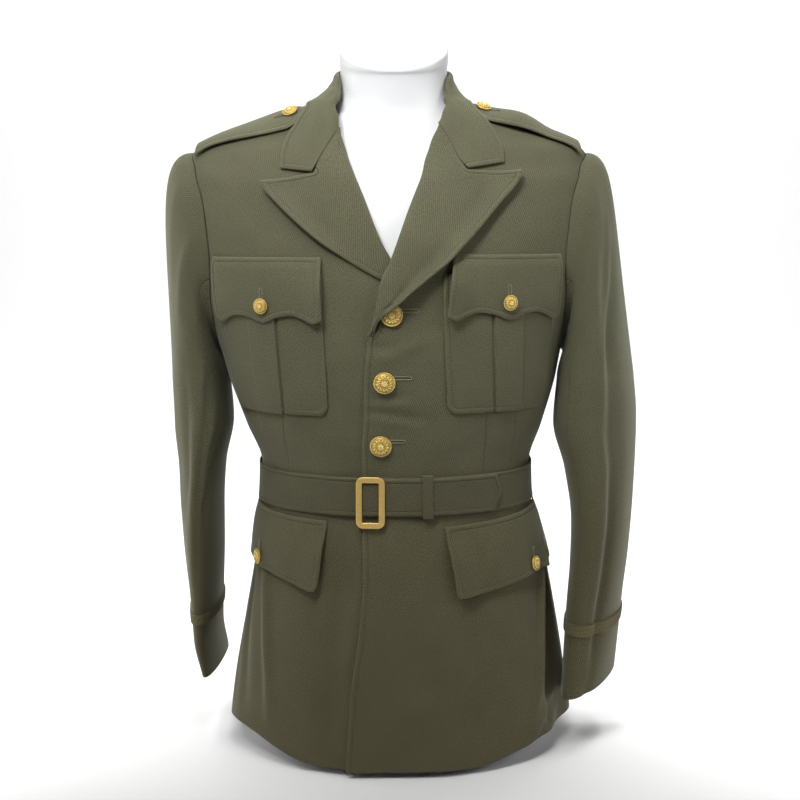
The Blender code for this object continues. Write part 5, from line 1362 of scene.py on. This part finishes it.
def shoulder_strap(row):
    """A strap from the armhole to its pointed end by the collar."""
    share = places(64, 0.12)[:, None]
    across = (places(26, 0.045) * 2 - 1)[None, :]
    narrow = smooth_table(STRAP_SHAPE, ("share", "narrow"))(share)["narrow"]
    rows = [(point[0], out) for point, out in zip(STRAP_SHAPE, STRAP_OUTS)]
    out = smooth_table(rows, ("share", "out"))(share)["out"] + strap_bow(row, share) * (1 - 0.5 * across ** 2)
    x = between(row["armhole_x"], row["tip_x"], share) * np.ones(across.shape)
    y = strap_middle(row, share) + between(*STRAP_WIDTHS, share) / 2 * narrow * across
    return trim_cloth(f"epaulette_{side_name(row['side'])}", lambda lift: on_shoulder(x, y, lift), out, three_sides)


def belt():
    turn = np.linspace(-180, 180, 301)[None, :-1]
    z = between(BELT_HIGH_Z, BELT_LOW_Z, places(14, BELT_HIGH_Z - BELT_LOW_Z))[:, None]
    return trim_cloth("belt", lambda lift: on_body(turn, z, lift), belt_out(turn),
                      lambda grid: (grid[0], grid[0, :1], grid[-1], grid[-1, :1]), "belt", ring=True)


def belt_end():
    """The belt's free end, which lies on the belt."""
    first, last = BELT_END_TURNS
    share = places(12, 0.04)[:, None]
    z = between(BELT_HIGH_Z - 0.0008, BELT_LOW_Z + 0.0008, share)
    point = np.interp(share, (0.0, 0.46, 0.54, 1.0), (-2.6, 0.35, 0.35, -4.0))
    turn = between(first, last + point, places(100, 0.15)[None, :])
    return trim_cloth("belt_end", lambda lift: on_body(turn, z, lift), belt_out(turn) + TRIM_WALL + SEAM * 2,
                      lambda grid: (grid[0], grid[:, -1], grid[-1, ::-1]), "belt")


def belt_keeper():
    """A loop of cloth round the belt and its free end."""
    front = TRIM_WALL + SEAM * 4 + KEEPER_WALL
    behind = -(TRIM_WALL + SEAM * 2.5 + KEEPER_WALL)
    low, high = BELT_LOW_Z - 0.0024, BELT_HIGH_Z + 0.0024
    middle_z, round_off = (BELT_LOW_Z + BELT_HIGH_Z) / 2, 0.0016
    loop = np.array(((high, behind * 0.5), (high, front * 0.5), (high - round_off, front), (middle_z, front),
                     (low + round_off, front), (low, front * 0.5), (low, behind * 0.5), (low + round_off, behind),
                     (middle_z, behind), (high - round_off, behind)))
    closed = np.concatenate([loop[-2:], loop, loop[:3]])[None]
    curve = through(closed, np.linspace(2, 12, 81)[:-1])[0]
    turn = between(*KEEPER_TURNS, places(8, 0.01)[:, None])
    grid = on_body(turn, curve[None, :, 0], belt_out(turn) + curve[None, :, 1])
    middle = grid.mean(axis=(0, 1))
    made = shell("belt_keeper_cloth", grid, KEEPER_WALL, FINISHES["belt"], ring=True, away=(middle[0], middle[1]))
    return fit(made, "cloth", "belt_keeper")


# ---------------------------------------------------------------- modelled pieces
def begin(*chosen):
    """Object mode with nothing but these pieces chosen, so that an operator acts on them alone."""
    if bpy.context.mode != "OBJECT":
        bpy.ops.object.mode_set(mode="OBJECT")
    bpy.ops.object.select_all(action="DESELECT")
    for piece in chosen:
        piece.select_set(True)
    if chosen:
        bpy.context.view_layer.objects.active = chosen[0]


def face_outwards(piece):
    begin(piece)
    bpy.ops.object.mode_set(mode="EDIT")
    bpy.ops.mesh.select_all(action="SELECT")
    bpy.ops.mesh.normals_make_consistent(inside=False)
    bpy.ops.object.mode_set(mode="OBJECT")


def finish_modifiers(piece):
    begin(piece)
    for modifier in list(piece.modifiers):
        bpy.ops.object.modifier_apply(modifier=modifier.name)


def settle(piece, placing):
    """Puts the piece in its place by its mesh, and leaves the object at the origin."""
    piece.data.transform(placing @ piece.matrix_world)
    piece.matrix_world = Matrix.Identity(4)
    return piece


def framed(point, normal, up):
    """A frame at a point whose z is the normal and whose x is square to up."""
    along = Vector(up).cross(normal).normalized()
    placing = Matrix((along, normal.cross(along), normal)).transposed().to_4x4()
    placing.translation = point
    return placing


def face_frame(turn, z, out):
    """A frame on the body's face: x along the cloth, y up it, z outwards."""
    return framed(Vector(on_body(turn, z, out)), Vector(body_normal(np.array(turn), np.array(z))), (0.0, 0.0, 1.0))


def buckle():
    """A frame with rounded corners and edges."""
    size = BUCKLE
    begin()
    bpy.ops.mesh.primitive_plane_add(size=1.0)
    piece = bpy.context.active_object
    piece.name = piece.data.name = "buckle_gilt"
    bpy.ops.object.mode_set(mode="EDIT")
    bpy.ops.transform.resize(value=(size["width"] * BUCKLE_SHARES[0], size["height"] * BUCKLE_SHARES[1], 1.0))
    bpy.ops.mesh.bevel(offset=size["corner"], segments=10, affect="VERTICES")
    bpy.ops.mesh.inset(thickness=size["bar"])
    bpy.ops.mesh.delete(type="FACE")
    bpy.ops.object.mode_set(mode="OBJECT")
    wall = piece.modifiers.new("Wall", "SOLIDIFY")
    wall.thickness, wall.offset = size["thick"], 1.0
    edge = piece.modifiers.new("Edge", "BEVEL")
    edge.width, edge.segments, edge.limit_method = 0.0009, 4, "ANGLE"
    finish_modifiers(piece)
    begin(piece)
    bpy.ops.object.shade_smooth_by_angle(angle=math.radians(40))
    piece.data.materials.append(FINISHES["buckle"])
    lift = belt_out(np.array(size["turn"])) + TRIM_WALL + SEAM * 3.5
    settle(piece, face_frame(size["turn"], size["z"], float(lift)))
    return fit(piece, "gilt", "buckle")


def button_blank(radius, height):
    """A domed blank with a rolled rim, drawn up ring by ring from a disc."""
    begin()
    bpy.ops.mesh.primitive_circle_add(vertices=72, radius=radius * 0.94, fill_type="NGON")
    piece = bpy.context.active_object
    bpy.ops.object.mode_set(mode="EDIT")
    bpy.ops.mesh.select_mode(type="FACE")
    bpy.ops.transform.translate(value=(0.0, 0.0, height * 0.16))
    profile = ((1.0, 0.36), (0.985, 0.47), (0.95, 0.53), (0.905, 0.50), (0.88, 0.47), (0.84, 0.56), (0.76, 0.67),
               (0.66, 0.77), (0.54, 0.86), (0.42, 0.92), (0.28, 0.97), (0.14, 1.0))
    at = (0.94, 0.16)
    for share, rise in profile:
        bpy.ops.mesh.extrude_region_move(TRANSFORM_OT_translate={"value": (0.0, 0.0, (rise - at[1]) * height)})
        bpy.ops.transform.resize(value=(share / at[0], share / at[0], 1.0))
        at = (share, rise)
    bpy.ops.object.mode_set(mode="OBJECT")
    return piece


def button_back(radius, height):
    """The short shank."""
    begin()
    bpy.ops.mesh.primitive_cylinder_add(vertices=32, radius=radius * 0.30, depth=height * 0.3,
                                        location=(0.0, 0.0, height * 0.13))
    return bpy.context.active_object


def leaf(long, wide, thick):
    """A pointed leaf of the relief with a raised middle."""
    begin()
    bpy.ops.mesh.primitive_uv_sphere_add(segments=8, ring_count=5, radius=1.0)
    piece = bpy.context.active_object
    bpy.ops.object.mode_set(mode="EDIT")
    bpy.ops.transform.resize(value=(wide / 2, long / 2, thick))
    bpy.ops.object.mode_set(mode="OBJECT")
    for vertex in piece.data.vertices:
        vertex.co.x *= 1 - 0.75 * abs(2 * vertex.co.y / long) ** 1.6
    return piece


def scatter(pattern, frames, material):
    """Copies of a small shape, each at its frame, as one piece."""
    copies = []
    for placing in frames:
        copy = pattern.copy()
        copy.data = pattern.data.copy()
        copy.data.transform(placing)
        bpy.context.scene.collection.objects.link(copy)
        copies.append(copy)
    bpy.data.objects.remove(pattern, do_unlink=True)
    for copy in copies:
        copy.data.materials.clear()
        copy.data.materials.append(material)
    begin(*copies)
    bpy.ops.object.join()
    return bpy.context.active_object


def dome_height(share, height):
    return height * float(np.interp(share, (0.0, 0.14, 0.42, 0.66, 0.84), (1.0, 1.0, 0.92, 0.77, 0.56)))


def ringed(count, share, radius, height, spin, offset=0.0):
    """Frames set round a ring on the dome, each turned by spin against its spoke."""
    tilt = math.atan2(dome_height(share - 0.06, height) - dome_height(share + 0.06, height), 0.12 * radius)
    frames = []
    for i in range(count):
        angle = 2 * math.pi * i / count + offset
        place = Vector((share * radius * math.cos(angle), share * radius * math.sin(angle), dome_height(share, height)))
        turned = Matrix.Rotation(angle - math.pi / 2, 4, "Z") @ Matrix.Rotation(-tilt, 4, "X")
        frames.append(Matrix.Translation(place) @ turned @ Matrix.Rotation(spin, 4, "Z"))
    return frames


def button_pattern(radius, height):
    """A button with a generic relief: a rosette, a wreath of leaves in pairs and a roped rim."""
    blank, back = button_blank(radius, height), button_back(radius, height)
    # painted shade: the blank's ground is darker than the raised gilt parts
    blank.data.materials.append(FINISHES["ground"])
    back.data.materials.append(FINISHES["gilt"])
    thick = radius * 0.055
    rim = ringed(44, 0.945, radius, height, 0.45)
    for placing in rim:
        placing.translation.z = height * 0.50
    parts = [blank, back]
    # rosette, its middle, the wreath's two rows, the beads between, and the rim
    for long, wide, rise, frames in ((0.30, 0.17, 1.0, ringed(8, 0.20, radius, height, 0.0)),
                                     (0.13, 0.13, 1.3, ringed(1, 0.001, radius, height, 0.0)),
                                     (0.25, 0.12, 1.0, ringed(14, 0.56, radius, height, 0.75)),
                                     (0.25, 0.12, 1.0, ringed(14, 0.66, radius, height, -0.75, 0.13)),
                                     (0.085, 0.085, 0.8, ringed(14, 0.42, radius, height, 0.0, 0.22)),
                                     (0.14, 0.10, 0.9, rim)):
        parts.append(scatter(leaf(radius * long, radius * wide, thick * rise), frames, FINISHES["gilt"]))
    begin(*parts)
    bpy.ops.object.join()
    bpy.ops.object.shade_smooth_by_angle(angle=math.radians(50))
    return bpy.context.active_object


def button(name, pattern, placing, spin):
    piece = pattern.copy()
    piece.data = pattern.data.copy()
    piece.name = piece.data.name = name + "_gilt"
    bpy.context.scene.collection.objects.link(piece)
    piece.data.transform(placing @ Matrix.Rotation(spin, 4, "Z"))
    return fit(piece, "gilt", name)


STRAP_BUTTON_TILT = 0.22            # how far the strap's button leans to the front


def strap_frame(row):
    """The frame of a shoulder strap's button."""
    share = 1 - row["side"] * STRAP_BUTTON_INSET / (row["armhole_x"] - row["tip_x"])
    place = np.array(row["tip_x"] + row["side"] * STRAP_BUTTON_INSET), np.array(strap_middle(row, share))
    point = Vector(on_shoulder(*place, np.array(STRAP_OUTS[-3] + SEAM * 2)))
    normal = (point - Vector(on_shoulder(*place, np.array(0.0)))).normalized()
    return framed(point, (normal + Vector((0.0, -STRAP_BUTTON_TILT, 0.0))).normalized(), (0.0, 1.0, 0.0))


def coat_buttons():
    pattern = button_pattern(*COAT_BUTTON)
    for number, (turn, z) in enumerate(COAT_BUTTONS, 1):
        lift = float(overlap_out(turn, z)) + SEAM
        button(f"coat_button_{number}", pattern, face_frame(turn, z, lift), 0.7 * number)
    bpy.data.objects.remove(pattern, do_unlink=True)


FLAP_BUTTON_RISE = 0.0175           # a breast button's height over its flap's middle point


def flap_middle(row):
    """The girth of a breast flap's middle, and its button's height."""
    return (row["inner"] + row["outer"]) / 2, row["point_z"] + FLAP_BUTTON_RISE


def small_buttons():
    pattern = button_pattern(*POCKET_BUTTON)
    for row in BREAST_FLAPS:
        girth, z = flap_middle(row)
        turn = row["side"] * float(turn_at(girth, z))
        lift = FLAP_OUT[2] + SEAM + (float(overlap_out(turn, z)) if row["side"] > 0 else 0.0)
        button(f"breast_button_{side_name(row['side'])}", pattern, face_frame(turn, z, lift), 0.9 * row["side"])
    for side, girth, z in HIP_BUTTONS:
        placing = face_frame(side * float(turn_at(girth, z)), z, HIP_OUT[2] + SEAM + 0.0004)
        button(f"hip_button_{side_name(side)}", pattern, placing, 1.3 * side)
    for row in STRAPS:
        button(f"epaulette_button_{side_name(row['side'])}", pattern, strap_frame(row), 0.5 * row["side"])
    bpy.data.objects.remove(pattern, do_unlink=True)


HOLE_STEPS = 200                    # points round a buttonhole
HOLE_LONG, HOLE_WIDE = 0.0170, 0.0030
HOLE_RISE = 0.0090                  # a small buttonhole's middle past its button
COAT_HOLE_LONG = 0.0205
COAT_HOLE_TURN, COAT_HOLE_RISE = 3.3, 0.0045   # its middle past its button, in degrees and upwards
CHEST_SPREAD = 0.22                 # how many metres of cloth one radian of turn is in front
STITCH = 0.0011                     # from one bound stitch to the next


def slot_round(long, wide):
    """Points round a slot with half-round ends, along and across it, and the run up to each."""
    straight, half = long - wide, wide / 2
    run = np.linspace(0, 1, HOLE_STEPS + 1)[:-1] * (2 * straight + 2 * math.pi * half)
    back = run - straight - math.pi * half
    right, left = (run - straight) / half, (back - straight) / half
    parts = [run < straight, back < 0, back < straight]
    along = np.select(parts, [run - straight / 2, straight / 2 + half * np.sin(right), straight / 2 - back],
                      -straight / 2 - half * np.sin(left))
    across = np.select(parts, [-half, -half * np.cos(right), half], half * np.cos(left))
    return along, across, run


def buttonhole(name, point_at, long):
    """A slot bound with stitches. point_at gives a place from (along, across, out), in metres."""
    along, across, run = slot_round(long, HOLE_WIDE)
    outward = unit(np.stack([np.gradient(across), -np.gradient(along)], axis=-1))
    thick = 0.00062 + 0.00016 * np.sin(run * 2 * math.pi / STITCH)
    grid = []
    for angle in np.radians(np.arange(0, 360, 60)):
        side_step = np.cos(angle) * thick
        grid.append(point_at(along + outward[:, 0] * side_step, across + outward[:, 1] * side_step,
                             0.00035 + np.sin(angle) * thick * 0.8))
    index = np.arange(len(grid) * HOLE_STEPS).reshape(-1, HOLE_STEPS)
    following, above = np.roll(index, -1, axis=1), np.roll(index, -1, axis=0)
    faces = np.stack([index, following, np.roll(above, -1, axis=1), above], axis=-1).reshape(-1, 4)
    piece = smooth_piece(name, np.array(grid).reshape(-1, 3), faces.tolist(), FINISHES["thread"])
    face_outwards(piece)
    return fit(piece, "cloth")


def buttonholes():
    for number, (turn, z) in enumerate(COAT_BUTTONS, 1):

        def on_placket(along, across, out, turn=turn, z=z):
            turns = turn + COAT_HOLE_TURN + np.degrees(along / CHEST_SPREAD)
            return on_body(turns, z + COAT_HOLE_RISE + across, out + overlap_out(turns, z))

        buttonhole(f"coat_buttonhole_{number}", on_placket, COAT_HOLE_LONG)
    for row in BREAST_FLAPS:

        def on_flap(along, across, out, row=row):
            girth, z = flap_middle(row)
            return on_front(row["side"], girth + across, z + HOLE_RISE + along, out + FLAP_OUT[2] - 0.0002)

        buttonhole(f"breast_buttonhole_{side_name(row['side'])}", on_flap, HOLE_LONG)
    for side, girth, z in HIP_BUTTONS:

        def on_hip(along, across, out, side=side, girth=girth, z=z):
            return on_front(side, girth + across, z + HOLE_RISE + along, out + HIP_OUT[2])

        buttonhole(f"hip_buttonhole_{side_name(side)}", on_hip, HOLE_LONG)
    for row in STRAPS:

        def on_strap(along, across, out, row=row):
            x = row["tip_x"] + row["side"] * (STRAP_BUTTON_INSET + HOLE_RISE) + along
            share = (row["armhole_x"] - x) / (row["armhole_x"] - row["tip_x"])
            lift = STRAP_OUTS[-4] + strap_bow(row, share)
            return on_shoulder(x, strap_middle(row, share) + across, out + lift)

        buttonhole(f"epaulette_buttonhole_{side_name(row['side'])}", on_strap, HOLE_LONG)


# ---------------------------------------------------------------- the dress form
def dress_form():
    """A whole smooth torso with a flat base and a neck cut off at a slope."""
    turn = np.linspace(-180, 180, 129)[None, :-1]
    z = np.linspace(0.0, FORM[-1][0], 108)[:, None]
    body = section_point(smooth_table(FORM, BODY_COLUMNS)(z), turn, z)
    level = between(NECK_TOP[0][0], NECK_TOP[-1][0], np.linspace(0.0, 1.0, 22)[1:, None])
    row = smooth_table(NECK_TOP, NECK_COLUMNS)(level)
    angle = np.radians(turn)
    y = -row["depth"] * np.cos(angle)
    neck = np.stack(np.broadcast_arrays(FORM[-1][1] + row["half"] * np.sin(angle), FORM[-1][2] + y,
                                        level + row["slope"] * y), axis=-1)
    centre, foot = neck[-1].mean(0), body[0].mean(0)
    base = [between(foot, body[0], share) for share in (0.06, 0.5, 0.97)]
    cap = [between(centre, neck[-1], share) + (0.0, 0.0, rise)
           for share, rise in zip((0.985, 0.96, 0.90, 0.6, 0.3, 0.06), (0.0004, 0.0009, *(0.0010,) * 4))]
    grid = np.concatenate([base, body, neck, cap])
    high, wide = grid.shape[:2]
    corners = quads(high, wide, True)
    faces = (corners[..., 0] * wide + corners[..., 1] % wide).tolist()
    faces += [list(range(wide))[::-1], [(high - 1) * wide + i for i in range(wide)]]
    piece = smooth_piece("dress_form_smooth", grid.reshape(-1, 3), faces, FINISHES["form"])
    piece.data.set_sharp_from_angle(angle=math.radians(50))
    face_outwards(piece)
    return fit(piece, "form", "dress_form")


# ---------------------------------------------------------------- stage
# Soft boxes: place, what each points at, size, share of the key light's power, and how far it spreads in degrees.
SOFT_BOXES = {
    "Key": ((-0.45, -1.0, 1.55), (0.035, -0.05, 0.55), (0.5, 0.5), 0.190, 50),
    "Top front": ((0.0, -0.75, 2.0), (0.0, -0.10, 0.48), (0.4, 0.4), 0.045, 34),
    "Left front": ((-1.3, -0.9, 0.9), (0.0, -0.05, 0.50), (0.5, 0.6), 0.036, 90),
    "Left side": ((-1.5, 0.2, 0.8), (0.0, 0.0, 0.5), (1.0, 1.0), 0.80, 180),
    "Right front": ((1.2, -1.0, 1.2), (0.0, -0.05, 0.52), (0.5, 0.6), 0.135, 80),
    "Right shoulder": ((1.4, -0.4, 1.1), (0.0, -0.05, 0.60), (0.5, 0.6), 0.032, 60),
    "Right side": ((1.5, -0.2, 0.7), (0.0, 0.0, 0.6), (0.6, 0.8), 0.02, 60),
    "Floor left": ((-0.85, 0.35, 2.0), (-0.85, 0.35, 0.0), (0.5, 0.8), 0.54, 40),
    "Floor right": ((0.85, 0.35, 2.0), (0.85, 0.35, 0.0), (0.5, 0.8), 0.54, 40),
    "Back wall": ((0.0, 0.9, 2.9), (0.0, 3.2, 0.9), (4.0, 1.0), 21.5, 180),
}


SWEEP_STEPS, SWEEP_STEP = 12, 0.16  # the floor's bend up into the wall: steps, and the length of each
CAMERA_PLACE, CAMERA_TILT = (0.0055, -1.5, 0.592), 82.0


def area_light(name, place, target, size, power, spread):
    """A soft box that points at a target."""
    light = bpy.data.lights.new(name, "AREA")
    light.shape, light.size, light.size_y = "RECTANGLE", size[0], size[1]
    light.energy, light.spread = power, math.radians(spread)
    lamp = bpy.data.objects.new(name, light)
    lamp.location = place
    lamp.rotation_euler = (Vector(target) - Vector(place)).to_track_quat("-Z", "Y").to_euler()
    bpy.context.scene.collection.objects.link(lamp)


def stage_floor():
    """A pale sweep: a floor that curves up into a wall behind."""
    begin()
    bpy.ops.mesh.primitive_plane_add(size=1.0, location=(0.0, 0.0, -0.0004))
    floor = bpy.context.active_object
    floor.name = floor.data.name = "pale_floor"
    bpy.ops.object.mode_set(mode="EDIT")
    bpy.ops.transform.resize(value=(12.0, 6.0, 1.0))
    bpy.ops.mesh.select_mode(type="EDGE")
    bpy.ops.mesh.select_all(action="DESELECT")
    bpy.ops.object.mode_set(mode="OBJECT")
    for edge in floor.data.edges:
        edge.select = all(floor.data.vertices[i].co.y > 0 for i in edge.vertices)
    bpy.ops.object.mode_set(mode="EDIT")
    for i in range(SWEEP_STEPS):
        angle = math.radians(90 / SWEEP_STEPS * (i + 0.5))
        bpy.ops.mesh.extrude_region_move(TRANSFORM_OT_translate={
            "value": (0.0, SWEEP_STEP * math.cos(angle), SWEEP_STEP * math.sin(angle))})
    bpy.ops.mesh.extrude_region_move(TRANSFORM_OT_translate={"value": (0.0, 0.0, 5.0)})
    begin(floor)
    bpy.ops.object.shade_smooth_by_angle(angle=math.radians(30))
    settle(floor, Matrix.Identity(4))
    material, _, shader = new_material("Pale floor", 0.9)
    shader.inputs["Base Color"].default_value = (0.92, 0.92, 0.92, 1.0)
    shader.inputs["Specular IOR Level"].default_value = 0.1
    floor.data.materials.append(material)


def make_stage(settings):
    stage_floor()
    world = bpy.data.worlds.new("Soft studio")
    bpy.context.scene.world = world
    world.use_nodes = True
    world.node_tree.nodes["Background"].inputs["Color"].default_value = (1.0, 1.0, 1.0, 1.0)
    world.node_tree.nodes["Background"].inputs["Strength"].default_value = settings.fill_light
    for name, (place, target, size, share, spread) in SOFT_BOXES.items():
        area_light(name, place, target, size, settings.key_light * share, spread)
    camera = bpy.data.cameras.new("Camera")
    camera.sensor_width, camera.lens = 36.0, settings.lens
    camera.clip_start, camera.clip_end = 0.05, 40.0
    held = bpy.data.objects.new("Camera", camera)
    held.location = CAMERA_PLACE
    held.rotation_euler = (math.radians(CAMERA_TILT), 0.0, 0.0)
    bpy.context.scene.collection.objects.link(held)
    bpy.context.scene.camera = held
    bpy.context.scene.view_settings.view_transform = "Standard"


# ---------------------------------------------------------------- settings, operators, panel
def colour(name, description, default):
    return bpy.props.FloatVectorProperty(name=name, description=description, size=3, subtype="COLOR",
                                         min=0.0, max=1.0, default=default)


class TunicSettings(bpy.types.PropertyGroup):
    """Sizes and colours that a user would change."""
    olive: colour("Olive cloth", "Colour of the barathea", (0.112, 0.108, 0.063))
    braid: colour("Braid", "Colour of the cuff braid", (0.175, 0.165, 0.085))
    gilt: colour("Gilt", "Colour of the buttons and buckle", (1.0, 0.83, 0.32))
    thread: colour("Thread", "Colour of the buttonhole thread", (0.22, 0.205, 0.12))
    form: colour("Form", "Colour of the dress form", (0.89, 0.90, 0.91))
    twill_pitch: bpy.props.FloatProperty(name="Twill pitch", description="From one rib of the weave to the next",
                                         unit="LENGTH", min=0.0005, max=0.01, default=0.0020, precision=4)
    lens: bpy.props.FloatProperty(name="Lens", description="Focal length of the camera", unit="CAMERA",
                                  min=20.0, max=200.0, default=60.885)
    key_light: bpy.props.FloatProperty(name="Key light", description="Power of the largest soft light", unit="POWER",
                                       min=0.0, max=500.0, default=8.2)
    fill_light: bpy.props.FloatProperty(name="Fill light", description="Strength of the light from all round",
                                        min=0.0, max=3.0, default=0.02)


class TUNIC_OT_finishes(bpy.types.Operator):
    """Make the shader groups and the finishes of cloth, braid, gilt, thread and plastic"""
    bl_idname = "tunic.finishes"
    bl_label = "Finishes"

    def execute(self, context):
        make_finishes(context.scene.tunic)
        return {"FINISHED"}


class TUNIC_OT_form(bpy.types.Operator):
    """Make the white dress form"""
    bl_idname = "tunic.form"
    bl_label = "Dress form"

    def execute(self, context):
        dress_form()
        return {"FINISHED"}


class TUNIC_OT_body(bpy.types.Operator):
    """Make the fronts and backs"""
    bl_idname = "tunic.body"
    bl_label = "Fronts and backs"

    def execute(self, context):
        for side in (1, -1):
            for back in (False, True):
                panel(side, back)
        return {"FINISHED"}


class TUNIC_OT_sleeves(bpy.types.Operator):
    """Make the two-piece sleeves and the braid of their cuffs"""
    bl_idname = "tunic.sleeves"
    bl_label = "Sleeves and braid"

    def execute(self, context):
        for side in (1, -1):
            for top in (True, False):
                sleeve_half(side, top)
            cuff_braid(side)
        return {"FINISHED"}


class TUNIC_OT_collar(bpy.types.Operator):
    """Make the collar and lapels"""
    bl_idname = "tunic.collar"
    bl_label = "Collar and lapels"

    def execute(self, context):
        collar()
        for side in (1, -1):
            lapel(side)
        return {"FINISHED"}


class TUNIC_OT_pockets(bpy.types.Operator):
    """Make the pockets, flaps and shoulder straps"""
    bl_idname = "tunic.pockets"
    bl_label = "Pockets, flaps and straps"

    def execute(self, context):
        for make, rows in ((breast_pocket, POCKETS), (breast_flap, BREAST_FLAPS), (hip_flap, HIP_FLAPS)):
            for row in rows:
                make(row)
        for row in STRAPS:
            shoulder_strap(row)
        return {"FINISHED"}


class TUNIC_OT_belt(bpy.types.Operator):
    """Make the belt, its free end, keeper and buckle"""
    bl_idname = "tunic.belt"
    bl_label = "Belt and buckle"

    def execute(self, context):
        belt()
        belt_end()
        belt_keeper()
        buckle()
        return {"FINISHED"}


class TUNIC_OT_buttons(bpy.types.Operator):
    """Make the gilt buttons and the bound buttonholes"""
    bl_idname = "tunic.buttons"
    bl_label = "Buttons and buttonholes"

    def execute(self, context):
        coat_buttons()
        small_buttons()
        buttonholes()
        return {"FINISHED"}


class TUNIC_OT_stage(bpy.types.Operator):
    """Make the pale floor, soft lights and camera"""
    bl_idname = "tunic.stage"
    bl_label = "Stage"

    def execute(self, context):
        make_stage(context.scene.tunic)
        return {"FINISHED"}


OPERATORS = (TUNIC_OT_finishes, TUNIC_OT_form, TUNIC_OT_body, TUNIC_OT_sleeves, TUNIC_OT_collar, TUNIC_OT_pockets,
             TUNIC_OT_belt, TUNIC_OT_buttons, TUNIC_OT_stage)


class TUNIC_PT_panel(bpy.types.Panel):
    """Lists the tunic's settings and steps"""
    bl_label = "Military dress tunic"
    bl_idname = "TUNIC_PT_panel"
    bl_space_type = "VIEW_3D"
    bl_region_type = "UI"
    bl_category = "Tunic"

    def draw(self, context):
        for setting in TunicSettings.__annotations__:
            self.layout.prop(context.scene.tunic, setting)
        for step in OPERATORS:
            self.layout.operator(step.bl_idname)


CLASSES = (TunicSettings, *OPERATORS, TUNIC_PT_panel)


def register():
    for made in CLASSES:
        bpy.utils.register_class(made)
    bpy.types.Scene.tunic = bpy.props.PointerProperty(type=TunicSettings)


def unregister():
    del bpy.types.Scene.tunic
    for made in reversed(CLASSES):
        bpy.utils.unregister_class(made)


def main():
    register()
    bpy.ops.tunic.finishes()
    bpy.ops.tunic.form()
    bpy.ops.tunic.body()
    bpy.ops.tunic.sleeves()
    bpy.ops.tunic.collar()
    bpy.ops.tunic.pockets()
    bpy.ops.tunic.belt()
    bpy.ops.tunic.buttons()
    bpy.ops.tunic.stage()
    begin()


if __name__ == "__main__":
    main()
